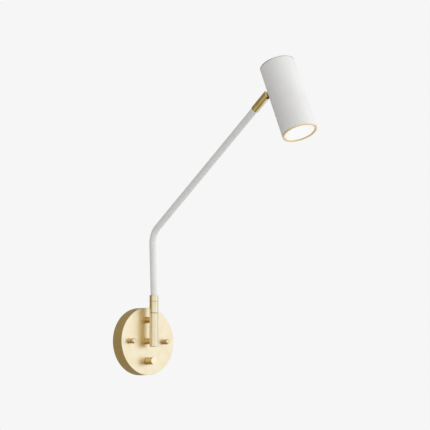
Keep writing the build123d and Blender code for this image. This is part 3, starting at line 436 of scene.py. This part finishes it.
canopy = turned(
    "canopy",
    (
        (canopy_r - canopy_wall, canopy_depth - canopy_wall),
        (canopy_r - canopy_wall, 0),
        (canopy_r, 0),
        (canopy_r, canopy_depth),
    ),
    sides=256,
)
for edge in canopy.data.edges:
    ends = [canopy.data.vertices[index].co for index in edge.vertices]
    edge.select = all(co.z > canopy_depth - canopy_edge for co in ends)
bpy.ops.object.mode_set(mode="EDIT")
bpy.ops.mesh.select_mode(type="EDGE")
bpy.ops.mesh.bevel(offset=canopy_edge, segments=5, affect="EDGES")
bpy.ops.object.mode_set(mode="OBJECT")
put(canopy, tip=out_of_wall)
hole_span = (canopy_depth - 2 * canopy_wall, canopy_depth + canopy_wall)
for hole_r, x, z in (
    (stud_hole_r, -stud_x, 0),
    (stud_hole_r, stud_x, 0),
    (standoff_hole_radii[0], 0, standoff_heights[0]),
    (standoff_hole_radii[1], 0, standoff_heights[1]),
    (dimmer_hole_r, 0, knob_z),
):
    cut(canopy, peg(hole_r, *hole_span, (x, 0, z), out_of_wall))
canopy_brass = satin_brass("canopy_brass")
dressed(canopy, canopy_brass, "wall_base", "satin_brass", "canopy_cover")

# ---- Wall bracket and its studs ----
# A pressed steel bar with two leaves, zinc plated. The wall screws go through its slots, and
# two studs pressed into it from the back carry the canopy. The same plating is on the screws.
def zinc_plate(name, light, dark, roughness):
    """Plated steel: a bluish grey with soft crystals of lighter and darker plating."""
    paint, tree, shader, place = new_paint(name, Metallic=1.0)
    crystals = add_node(tree, "ShaderNodeTexVoronoi")
    join(tree, place, crystals.inputs["Vector"])
    crystals.inputs["Scale"].default_value = 420.0
    grain = work_out(tree, "MULTIPLY", crystals.outputs["Distance"], cloud(tree, place, 700.0))
    tinted(tree, shader, eased(tree, grain, 0.05, 0.45), light, dark)
    roughened(tree, shader, cloud(tree, place, 160.0), 0.18, roughness - 0.09)
    raised(tree, shader, cloud(tree, place, 1500.0), 5e-6)
    return paint


zinc_steel = zinc_plate("zinc_steel", (0.66, 0.67, 0.68, 1.0), (0.50, 0.51, 0.53, 1.0), 0.36)
coated(zinc_steel, "mounting_bracket", "cover_studs")

# ---- Grommet, terminal block and earth screw ----
# The supply cable comes through a black rubber grommet to a moulded nylon terminal block with
# three poles. Its earth goes under a brass screw and washer, tapped into the bracket.
def moulded(name, light, dark, roughness, grain_depth, **values):
    """Moulded plastic or rubber: a fine spark-eroded grain and slight flow marks."""
    paint, tree, shader, place = new_paint(name, **values)
    flow = eased(tree, cloud(tree, place, 60.0, 5.0), 0.35, 0.7)
    tinted(tree, shader, flow, light, dark)
    grain = cloud(tree, place, 2200.0, 2.0)
    roughened(tree, shader, grain, 0.12, roughness - 0.06)
    raised(tree, shader, grain, grain_depth)
    return paint


black_rubber = moulded(
    "black_rubber", (0.028, 0.028, 0.028, 1.0), (0.045, 0.044, 0.042, 1.0), 0.72, 1.2e-5
)
terminal_nylon = moulded(
    "terminal_nylon", (0.78, 0.77, 0.70, 1.0), (0.72, 0.70, 0.62, 1.0), 0.5, 8e-6
)
earth_brass = zinc_plate("earth_brass", (0.74, 0.55, 0.26, 1.0), (0.62, 0.45, 0.20, 1.0), 0.34)
coated(black_rubber, "cable_grommet", "cap_o_ring")
coated(terminal_nylon, "terminal_block")
coated(zinc_steel, "terminal_screws")
coated(earth_brass, "earth_screw", "earth_washer")

# ---- LED driver ----
# A closed white plastic housing with two ears, screwed to the bracket's upper leaf. It turns
# the mains into the steady current that the LED needs.
driver_white = moulded(
    "driver_white", (0.80, 0.80, 0.79, 1.0), (0.75, 0.75, 0.73, 1.0), 0.48, 1.0e-5
)
coated(driver_white, "led_driver")
coated(zinc_steel, "driver_screws")

# ---- Dimmer ----
# A black rotary module behind the canopy. Its threaded bush comes through the canopy and is
# held by a thin nut, which the knob's hollow back hides; a flatted steel shaft turns in it.
dimmer_black = moulded(
    "dimmer_black", (0.020, 0.020, 0.022, 1.0), (0.032, 0.032, 0.034, 1.0), 0.45, 8e-6
)
coated(dimmer_black, "dimmer_body")
coated(zinc_steel, "dimmer_bush", "dimmer_nut", "dimmer_shaft")

# ---- Dimmer knob ----
# A solid brass knob, turned from bar with a broken front edge and a hollow back. It slides on
# the flatted shaft, and a black grub screw in its top holds it.
knob_low, knob_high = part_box("dimmer_knob")
knob_r = knob_high.x
knob_back = -knob_high.y
knob_front = -knob_low.y
knob_hollow_r = 6.1 * mm
knob_hollow_end = knob_back + 4.0 * mm
shaft_hole_r = 3.05 * mm
shaft_hole_end = 38.5 * mm
grub_hole_r = 1.55 * mm
grub_out = 35.0 * mm
# The knob's brass is darker than the canopy's, a painted shade on its sides. Its front face gets
# the canopy's paler brass, a painted highlight.
shaded_knob_brass = (0.72, 0.52, 0.20, 1.0)
shaded_knob_brass_deep = (0.62, 0.43, 0.13, 1.0)
knob_roughness = 0.26
knob = turned(
    "knob",
    (
        (shaft_hole_r, shaft_hole_end),
        (shaft_hole_r, knob_hollow_end),
        (knob_hollow_r, knob_hollow_end),
        (knob_hollow_r, knob_back),
        (knob_r, knob_back),
        (knob_r, knob_front),
    ),
)
edged(knob, 0.35 * mm, 4)
put(knob, (0, 0, knob_z), out_of_wall)
cut(knob, peg(grub_hole_r, 0, 2 * knob_r, (0, -grub_out, knob_z)))
knob_brass = satin_brass(
    "knob_brass", (0, 0, knob_z), out_of_wall, shaded_knob_brass, shaded_knob_brass_deep, knob_roughness
)
# Painted highlight on the knob's front face.
painted_front_highlight(knob_brass, -knob_front + 0.5 * mm, -knob_front + 0.1 * mm, brass_light)
dressed(knob, knob_brass, "knob", "satin_brass", "dimmer_knob")
black_steel = zinc_plate(
    "black_steel", (0.045, 0.045, 0.050, 1.0), (0.030, 0.030, 0.032, 1.0), 0.42
)
coated(black_steel, "knob_grub_screw", "arm_grub_screw")

# ---- Domed nuts ----
# Two blind brass nuts hold the canopy on its studs. Each is turned in one piece: a short
# skirt, a sharp crease, and a larger body that ends in a dome, done up by hand.
nut_r = 4.9 * mm
nut_crease = 0.5 * mm
nut_skirt_end = canopy_depth + 5.2 * mm
nut_end = canopy_depth + 11.0 * mm
nut_dome = 3.0 * mm
nut_dome_steps = 9
stud_tip = canopy_depth + 9.0 * mm
# The nuts' brass is darker and redder than the canopy's, a painted shade on their sides. The
# paler third colour is a painted highlight on the dome.
shaded_nut_brass = (0.62, 0.38, 0.10, 1.0)
shaded_nut_brass_deep = (0.46, 0.26, 0.05, 1.0)
nut_dome_highlight = (0.72, 0.58, 0.28, 1.0)
nut_roughness = 0.22


def rounded_end(radius, end, rounding, steps):
    """Rings of a quarter round that takes a turned side over into the end of its piece."""
    rings = []
    for step in range(steps + 1):
        angle = math.radians(90) * step / steps
        inward, back = rounding * (1 - math.cos(angle)), rounding * (1 - math.sin(angle))
        rings.append((radius - inward, end - back))
    return rings


nut = turned(
    "domed_nut_left",
    (
        (stud_hole_r, stud_tip),
        (stud_hole_r, canopy_depth),
        (nut_r - nut_crease, canopy_depth),
        (nut_r - nut_crease, nut_skirt_end - nut_crease),
        (nut_r - 2 * nut_crease, nut_skirt_end),
        (nut_r, nut_skirt_end),
        *rounded_end(nut_r, nut_end, nut_dome, nut_dome_steps),
    ),
    sides=96,
)
edged(nut, 0.12 * mm, 2)
put(nut, (-stud_x, 0, 0), out_of_wall)
pick(nut)
bpy.ops.object.duplicate(linked=False)
other_nut = put(bpy.context.object, (2 * stud_x, 0, 0))
other_nut.name = "domed_nut_right"
for piece, x in ((nut, -stud_x), (other_nut, stud_x)):
    nut_brass = satin_brass(
        f"{piece.name}_brass", (x, 0, 0), out_of_wall, shaded_nut_brass, shaded_nut_brass_deep, nut_roughness
    )
    # Painted highlight on the front of the dome.
    painted_front_highlight(nut_brass, -nut_end + nut_dome, -nut_end + 0.4 * nut_dome, nut_dome_highlight)
    dressed(piece, nut_brass, "wall_base", "satin_brass", "cap_nuts")

# ---- Post ----
# A vertical brass tube with a closed, chamfered foot. It stands clear of the canopy on two
# standoffs, tapped for their screws, and holds a bronze bush in its open top.
post_low, post_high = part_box("post")
post_r = post_high.x
post_y = (post_low.y + post_high.y) / 2
post_bore_r = 5.5 * mm
post_floor = 4.0 * mm
post_foot_edge = 0.8 * mm
seam_edge = 0.25 * mm
post = turned(
    "upright_post",
    (
        (post_bore_r, post_low.z + post_floor),
        (post_bore_r, post_high.z),
        (post_r - seam_edge, post_high.z),
        (post_r, post_high.z - seam_edge),
        (post_r, post_low.z + post_foot_edge),
        (post_r - post_foot_edge, post_low.z),
    ),
    sides=128,
)
edged(post, 0.08 * mm, 2)
put(post, (0, post_y, 0))
for height, hole_r in zip(standoff_heights, standoff_hole_radii):
    cut(post, peg(hole_r, 0, post_r + 1.0 * mm, (0, post_y, height), -out_of_wall))
post_brass = satin_brass("post_brass", (0, post_y, 0), 0)
dressed(post, post_brass, "wall_base", "satin_brass", "post")
bronze = zinc_plate("bronze", (0.52, 0.33, 0.18, 1.0), (0.40, 0.25, 0.13, 1.0), 0.55)
coated(bronze, "post_bush")

# ---- Standoffs and the post's screws ----
# Two short brass spacers, saddled to the post's round. A plain screw goes through the upper
# one and a hollow screw, which carries the lead, through the lower one.
standoff_r = 5.5 * mm
for name, node, height, hole_r in (
    ("upper_spacer", "standoff_upper", standoff_heights[0], standoff_hole_radii[0]),
    ("lower_spacer", "standoff_lower", standoff_heights[1], standoff_hole_radii[1]),
):
    spacer = turned(
        name,
        (
            (hole_r, canopy_depth),
            (standoff_r, canopy_depth),
            (standoff_r, -post_y),
            (hole_r, -post_y),
            (hole_r, canopy_depth),
        ),
        sides=96,
    )
    edged(spacer, 0.2 * mm)
    put(spacer, (0, 0, height), out_of_wall)
    cut(spacer, peg(post_r, -2 * standoff_r, 2 * standoff_r, (0, post_y, height), sides=128))
    # The spacers share the nuts' darker brass, a painted shade.
    spacer_brass = satin_brass(
        f"{name}_brass", (0, 0, height), out_of_wall, shaded_nut_brass, shaded_nut_brass_deep, nut_roughness
    )
    dressed(spacer, spacer_brass, "wall_base", "satin_brass", node)
coated(zinc_steel, "post_washers", "upper_post_screw", "hollow_bolt")

# ---- Swivel ----
# A hollow steel spindle turns in the post's bush, kept in by a spring clip. A thin nylon washer,
# painted dark as a painted shade for its recessed seam, shows as a dark line between the post and
# the brass sleeve that holds the arm.
sleeve_low, sleeve_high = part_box("swivel_sleeve")
sleeve_floor = 61.5 * mm
spindle_hole_r = 4.05 * mm
arm_hole_r = 5.95 * mm
arm_grub_z = 66.5 * mm
sleeve = turned(
    "sleeve",
    (
        (spindle_hole_r, sleeve_low.z),
        (post_r - seam_edge, sleeve_low.z),
        (post_r, sleeve_low.z + seam_edge),
        (post_r, sleeve_high.z - seam_edge),
        (post_r - seam_edge, sleeve_high.z),
        (arm_hole_r, sleeve_high.z),
        (arm_hole_r, sleeve_floor),
        (spindle_hole_r, sleeve_floor),
        (spindle_hole_r, sleeve_low.z),
    ),
    sides=128,
)
edged(sleeve, 0.08 * mm, 2)
put(sleeve, (0, post_y, 0))
cut(sleeve, peg(grub_hole_r, 0, 2 * post_r, (0, post_y, arm_grub_z), -out_of_wall))
dressed(sleeve, post_brass, "arm", "satin_brass", "swivel_sleeve")
# Painted shade: the nylon is dark so that the washer's recessed seam reads as a shadow line.
shade_dark_nylon = moulded(
    "shade_dark_nylon", (0.30, 0.27, 0.21, 1.0), (0.26, 0.23, 0.17, 1.0), 0.5, 6e-6
)
spring_steel = zinc_plate("spring_steel", (0.20, 0.20, 0.22, 1.0), (0.13, 0.13, 0.14, 1.0), 0.38)
coated(shade_dark_nylon, "swivel_washer", "friction_washer")
coated(spring_steel, "spindle_clip", "snap_ring")
coated(zinc_steel, "swivel_spindle")

# ---- Arm collar ----
# A brass collar of the sleeve's size closes the joint where the arm comes out of the sleeve.
# It is pressed down on the tube until only a fine seam shows.
collar_low, collar_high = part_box("arm_collar")
collar = turned(
    "collar",
    (
        (arm_hole_r, collar_low.z),
        (post_r - seam_edge, collar_low.z),
        (post_r, collar_low.z + seam_edge),
        (post_r, collar_high.z - seam_edge),
        (post_r - seam_edge, collar_high.z),
        (arm_hole_r, collar_high.z),
        (arm_hole_r, collar_low.z),
    ),
    sides=128,
)
edged(collar, 0.08 * mm, 2)
put(collar, (0, post_y, 0))
dressed(collar, post_brass, "arm", "satin_brass", "arm_collar")

# ---- Arm tube ----
# One steel tube, bent once on a former: upright in the sleeve, a slight lean back, the elbow,
# and a long straight run up to the knuckle. It is powder coated in a matt white.
pivot = Vector(next(joint["pos_m"] for joint in frame["joints"] if joint["name"] == "head_tilt"))
tube_r = 5.9 * mm
tube_wall = 1.0 * mm
tube_foot = Vector((0, post_y, 62.0 * mm))
lean_start = Vector((0, post_y, 83.0 * mm))
corner = Vector((0, -37.3 * mm, 191.5 * mm))
lean_bend_r = 200.0 * mm
elbow_r = 34.0 * mm
tube_short_of_pivot = 27.95 * mm
run_direction = (pivot - corner).normalized()
tube_end = pivot - run_direction * tube_short_of_pivot


def powder_white(name):
    """Matt white powder coat: a fine orange-peel skin over faintly uneven white."""
    paint, tree, shader, place = new_paint(name, Specular_IOR_Level=0.35)
    drift = eased(tree, cloud(tree, place, 22.0, 4.0), 0.35, 0.7)
    tinted(tree, shader, drift, (0.85, 0.845, 0.83, 1.0), (0.82, 0.812, 0.79, 1.0))
    peel = cloud(tree, place, 1300.0, 2.0)
    fine = cloud(tree, place, 4200.0, 2.0)
    skin = work_out(tree, "MULTIPLY_ADD", fine, 0.35, peel)
    roughened(tree, shader, peel, 0.12, 0.50)
    raised(tree, shader, skin, 4e-6)
    return paint


def run_on(travel):
    """Extrudes the open end of the tube along a straight run, in short lengths."""
    steps = math.ceil(travel.length / longest_face)
    for step in range(steps):
        bpy.ops.mesh.extrude_region_move(TRANSFORM_OT_translate={"value": travel / steps})


bpy.ops.object.select_all(action="DESELECT")
bpy.ops.mesh.primitive_circle_add(vertices=72, radius=tube_r, location=tube_foot)
tube = put(bpy.context.object, tube_foot)
tube.name = "bent_arm"
bpy.ops.object.mode_set(mode="EDIT")
bpy.ops.mesh.select_all(action="SELECT")
here = tube_foot
directions = (Vector((0, 0, 1)), (corner - lean_start).normalized(), run_direction)
bends = ((lean_start, lean_bend_r, 6), (corner, elbow_r, 32))
for (turn_at, bend_r, steps), before, after in zip(bends, directions, directions[1:]):
    turn = before.angle(after)
    set_back = bend_r * math.tan(turn / 2)
    bend_start = turn_at - before * set_back
    inward = (after - before * before.dot(after)).normalized()
    run_on(bend_start - here)
    bend_axis = after.cross(before).normalized()
    bend_centre = bend_start + inward * bend_r
    bpy.ops.mesh.spin(steps=steps, angle=turn, center=bend_centre, axis=bend_axis)
    here = turn_at + after * set_back
run_on(tube_end - here)
bpy.ops.mesh.select_all(action="SELECT")
bpy.ops.mesh.remove_doubles(threshold=1e-7)
bpy.ops.mesh.normals_make_consistent(inside=False)
bpy.ops.object.mode_set(mode="OBJECT")
worked(tube, "SOLIDIFY", thickness=tube_wall, offset=-1.0)
arm_white = powder_white("arm_white")
dressed(tube, arm_white, "arm", "white_enamel", "arm_tube")

# ---- Knuckle collar ----
# A short brass collar over the end of the tube, turned to a slightly larger size and broken
# at both edges. The fork's shoulder sits against it with a fine seam.
run_tip = math.degrees(math.atan2(-run_direction.y, run_direction.z))
knuckle_r = 6.8 * mm
knuckle_collar_start = -37.8 * mm
knuckle_collar_end = -28.0 * mm
knuckle_edge = 0.5 * mm
knuckle_light = (0.79, 0.65, 0.28, 1.0)
knuckle_deep = (0.72, 0.57, 0.21, 1.0)
knuckle_roughness = 0.29
end_collar = turned(
    "end_collar",
    (
        (arm_hole_r, knuckle_collar_start),
        (knuckle_r - knuckle_edge, knuckle_collar_start),
        (knuckle_r, knuckle_collar_start + knuckle_edge),
        (knuckle_r, knuckle_collar_end - seam_edge),
        (knuckle_r - seam_edge, knuckle_collar_end),
        (arm_hole_r, knuckle_collar_end),
        (arm_hole_r, knuckle_collar_start),
    ),
    sides=128,
)
edged(end_collar, 0.08 * mm, 2)
put(end_collar, pivot, run_tip)
knuckle_brass = satin_brass(
    "knuckle_brass", pivot, run_tip, knuckle_light, knuckle_deep, knuckle_roughness
)
dressed(end_collar, knuckle_brass, "arm", "knuckle_brass", "knuckle_collar")

# ---- Knuckle fork ----
# A turned brass bar with a spigot that plugs into the tube, bored for the lead. Its end is
# slotted across for the head's tongue, cross-drilled and counterbored for the pivot screw.
fork_start = -27.9 * mm
fork_end = 3.8 * mm
fork_edge_r = 1.5 * mm
fork_edge_steps = 6
spigot_start = -40.0 * mm
spigot_r = 4.85 * mm
fork_bore_r = 3.6 * mm
slot_bottom = -3.4 * mm
slot_half = 2.9 * mm
screw_head_r = 2.65 * mm
screw_head_seat = 5.0 * mm
pivot_thread_r = 1.3 * mm
pivot_thread_end = -5.2 * mm
pivot_shank_r = 1.7 * mm
fork = turned(
    "fork",
    (
        (fork_bore_r, slot_bottom),
        (fork_bore_r, spigot_start),
        (spigot_r, spigot_start),
        (spigot_r, fork_start),
        (knuckle_r - seam_edge, fork_start),
        (knuckle_r, fork_start + seam_edge),
        *rounded_end(knuckle_r, fork_end, fork_edge_r, fork_edge_steps),
    ),
    sides=128,
)
bpy.ops.object.select_all(action="DESELECT")
bpy.ops.mesh.primitive_cube_add(size=1, location=(0, 0, (slot_bottom + 2 * fork_end) / 2))
slot_cutter = bpy.context.object
slot_cutter.scale = (2 * slot_half, 4 * knuckle_r, 2 * fork_end - slot_bottom)
bpy.ops.object.transform_apply(location=True, scale=True)
cut(fork, slot_cutter)
edged(fork, 0.15 * mm)
put(fork, pivot, run_tip)


def cross_peg(radius, start, end):
    """A round cutter along the tilt axis, between two places on it."""
    cutter = turned("cutter", ((radius, start), (radius, end)), sides=48)
    pick(cutter)
    cutter.rotation_euler = (0, math.radians(90), 0)
    cutter.location = pivot
    bpy.ops.object.transform_apply(location=True, rotation=True)
    return cutter


cut(
    fork,
    cross_peg(pivot_thread_r, pivot_thread_end, 0),
    cross_peg(pivot_shank_r, 0, 1.5 * knuckle_r),
    cross_peg(screw_head_r, screw_head_seat, 1.5 * knuckle_r),
)
dressed(fork, knuckle_brass, "arm", "knuckle_brass", "knuckle_fork")
coated(knuckle_brass, "pivot_screw")

# ---- Head lug ----
# A brass boss, saddled to the head's round, with a thin tongue that goes into the fork. The
# tongue's underside is painted black, a painted shade for the dark depth of the fork's slot. A
# hollow stud holds the boss.
head_tilt = 24.5
head_r = 30.0 * mm
head_length = 134.0 * mm
tilt = math.radians(head_tilt)
to_back = Vector((0, math.sin(tilt), math.cos(tilt)))
to_arm = Vector((0, math.cos(tilt), -math.sin(tilt)))
pivot_off_axis = 43.4 * mm
pivot_from_middle = 32.8 * mm
boss_end = 33.2 * mm
# Painted shade: the black given to the tongue's underside, where the slot's depth shows dark.
slot_shade_black = (0.012, 0.012, 0.012, 1.0)
head_centre = pivot - to_arm * pivot_off_axis - to_back * pivot_from_middle
tongue_start = head_centre.dot(to_arm) + boss_end
tongue_middle = pivot.dot(to_back)
lug_brass, tree, shader, place = new_paint(
    "lug_brass", Metallic=1.0, Roughness=0.35, Coat_Weight=0.5, Coat_Roughness=0.3
)
on_tongue = eased(tree, along(tree, place, to_arm), tongue_start, tongue_start + 0.4 * mm)
height = along(tree, place, to_back)
under = eased(tree, height, tongue_middle - 1.4 * mm, tongue_middle - 1.8 * mm)
slot_shade_share = work_out(tree, "MULTIPLY", on_tongue, under)
tinted(tree, shader, slot_shade_share, knuckle_light, slot_shade_black)
coated(lug_brass, "head_lug")
coated(zinc_steel, "lug_washer", "lug_nut")

# ---- Head shell ----
# A plain steel tube, powder coated like the arm, open at both ends for the back cap and the
# front ring, with one hole in its side for the lug's stud.
head_tip = -head_tilt
shell_wall = 1.5 * mm
shell_bore_r = head_r - shell_wall
ring_edge = 1.3 * mm
cap_edge = 1.7 * mm
shell_front = -head_length / 2 + ring_edge
shell_back = head_length / 2 - cap_edge
lug_hole_r = 4.05 * mm
lug_hole_span = (20.0 * mm, 35.0 * mm)
shell = turned(
    "shell",
    (
        (head_r, shell_front),
        (head_r, shell_back),
        (shell_bore_r, shell_back),
        (shell_bore_r, shell_front),
        (head_r, shell_front),
    ),
    sides=256,
)
edged(shell, 0.2 * mm)
put(shell, head_centre, head_tip)
lug_place = head_centre + to_back * pivot_from_middle
cut(shell, peg(lug_hole_r, *lug_hole_span, lug_place, head_tip - 90))
head_white = powder_white("head_white")
dressed(shell, head_white, "head", "white_enamel", "head_shell")

# ---- Back cap ----
# A turned brass disc that closes the head, with a spigot inside the shell and a rubber ring
# in the spigot's groove. Only its edge and its flat back show.
spigot_gap = 0.1 * mm
cap_spigot_r = shell_bore_r - spigot_gap
cap_bore_r = cap_spigot_r - 2.0 * mm
cap_spigot_start = shell_back - 5.0 * mm
groove_r = shell_bore_r - 1.4 * mm
groove_start = 62.0 * mm
groove_end = 63.6 * mm
cap_chamfer = 0.4 * mm
back_cap = turned(
    "rear_cap",
    (
        (cap_bore_r, shell_back),
        (cap_bore_r, cap_spigot_start),
        (cap_spigot_r, cap_spigot_start),
        (cap_spigot_r, groove_start),
        (groove_r, groove_start),
        (groove_r, groove_end),
        (cap_spigot_r, groove_end),
        (cap_spigot_r, shell_back),
        (head_r, shell_back),
        (head_r, head_length / 2 - cap_chamfer),
        (head_r - cap_chamfer, head_length / 2),
    ),
    sides=256,
)
edged(back_cap, 0.12 * mm, 2)
put(back_cap, head_centre, head_tip)
# The cap's brass is darker and greyer than the canopy's. The darkness is a painted shade for the
# seam between the shell and the cap.
cap_brass = satin_brass(
    "cap_brass", head_centre, head_tip, (0.60, 0.55, 0.37, 1.0), (0.52, 0.47, 0.30, 1.0), 0.30
)
dressed(back_cap, cap_brass, "head", "satin_brass", "back_cap")

# ---- Front ring ----
# A turned brass ring pressed into the head's mouth. Its front edge runs into a conical lip that
# the lamp lights from within, and its spigot holds the diffuser and the gasket. Its brass is
# painted brighter and warmer than the rest, a painted glow of the lamp's light on it.
lip_r = 26.0 * mm
lip_mouth_r = 27.0 * mm
ring_bore_r = 27.4 * mm
ring_spigot_end = -head_length / 2 + 7.0 * mm
ring_chamfer = 0.3 * mm
front_ring = turned(
    "trim_ring",
    (
        (lip_r, shell_front),
        (lip_mouth_r, -head_length / 2),
        (head_r - ring_chamfer, -head_length / 2),
        (head_r, -head_length / 2 + ring_chamfer),
        (head_r, shell_front),
        (cap_spigot_r, shell_front),
        (cap_spigot_r, ring_spigot_end),
        (ring_bore_r, ring_spigot_end),
        (ring_bore_r, shell_front),
        (lip_r, shell_front),
    ),
    sides=256,
)
edged(front_ring, 0.08 * mm, 2)
put(front_ring, head_centre, head_tip)
# Painted glow: a brighter, warmer brass than the canopy's.
ring_brass = satin_brass(
    "ring_brass", head_centre, head_tip, (0.98, 0.76, 0.28, 1.0), (0.95, 0.71, 0.22, 1.0), 0.5
)
dressed(front_ring, ring_brass, "head", "satin_brass", "front_ring")

# ---- Diffuser ----
# A round of frosted opal acrylic, 2 mm thick, laid in the ring behind the lip and held there
# by a white silicone gasket. It glows evenly when the lamp is on.
diffuser_front = -65.5 * mm
diffuser_back = diffuser_front + 2.0 * mm
diffuser_r = ring_bore_r - spigot_gap
diffuser = turned(
    "opal_disc", ((diffuser_r, diffuser_front), (diffuser_r, diffuser_back)), sides=256
)
edged(diffuser, 0.15 * mm)
put(diffuser, head_centre, head_tip)
opal, tree, shader, place = new_paint("opal", Roughness=0.55, Emission_Strength=0.31)
frost = cloud(tree, place, 900.0, 3.0)
soft_spot = cloud(tree, place, 35.0, 2.0)
tinted(tree, shader, soft_spot, (0.90, 0.90, 0.89, 1.0), (0.92, 0.92, 0.91, 1.0))
glow = mixed(tree, soft_spot, (1.0, 0.995, 0.98, 1.0), (1.0, 1.0, 0.99, 1.0))
join(tree, glow, shader.inputs["Emission Color"])
raised(tree, shader, frost, 1.0e-5)
dressed(diffuser, opal, "head", "opal", "diffuser")
white_silicone = moulded(
    "white_silicone", (0.70, 0.70, 0.68, 1.0), (0.66, 0.66, 0.63, 1.0), 0.6, 8e-6
)
coated(white_silicone, "diffuser_gasket")

# ---- Reflector, LED and board ----
# Behind the diffuser a white cone gathers the light of one square LED. The LED is soldered to
# a round white board, which two small screws press on the heat sink.
reflector_white = moulded(
    "reflector_white", (0.88, 0.88, 0.86, 1.0), (0.85, 0.85, 0.82, 1.0), 0.25, 3e-6
)
board_white = moulded("board_white", (0.80, 0.80, 0.77, 1.0), (0.76, 0.76, 0.72, 1.0), 0.35, 5e-6)
led_yellow = moulded(
    "led_yellow",
    (0.90, 0.68, 0.10, 1.0),
    (0.86, 0.60, 0.08, 1.0),
    0.3,
    4e-6,
    Emission_Color=(1.0, 0.82, 0.55, 1.0),
    Emission_Strength=0.6,
)
coated(reflector_white, "reflector")
coated(board_white, "led_board")
coated(led_yellow, "led_chip")
coated(zinc_steel, "board_screws")

# ---- Heat sink ----
# A die-cast aluminium base with straight fins behind it, which carries the board and takes
# the LED's heat to the shell. A spring ring in the shell's groove keeps it forward.
cast_aluminium = zinc_plate(
    "cast_aluminium", (0.72, 0.73, 0.74, 1.0), (0.60, 0.61, 0.62, 1.0), 0.50
)
coated(cast_aluminium, "heat_sink")

# ---- Leads ----
# White two-core leads run from the terminal block to the driver, to the dimmer, through the
# post and the arm to the knuckle, and inside the head to the board.
lead_white = moulded("lead_white", (0.74, 0.74, 0.71, 1.0), (0.70, 0.70, 0.66, 1.0), 0.42, 6e-6)
coated(lead_white, "supply_lead", "dimmer_lead", "post_lead", "arm_lead", "head_lead")

# ---- Last step: the view layer is brought up to date ----
bpy.context.view_layer.update()
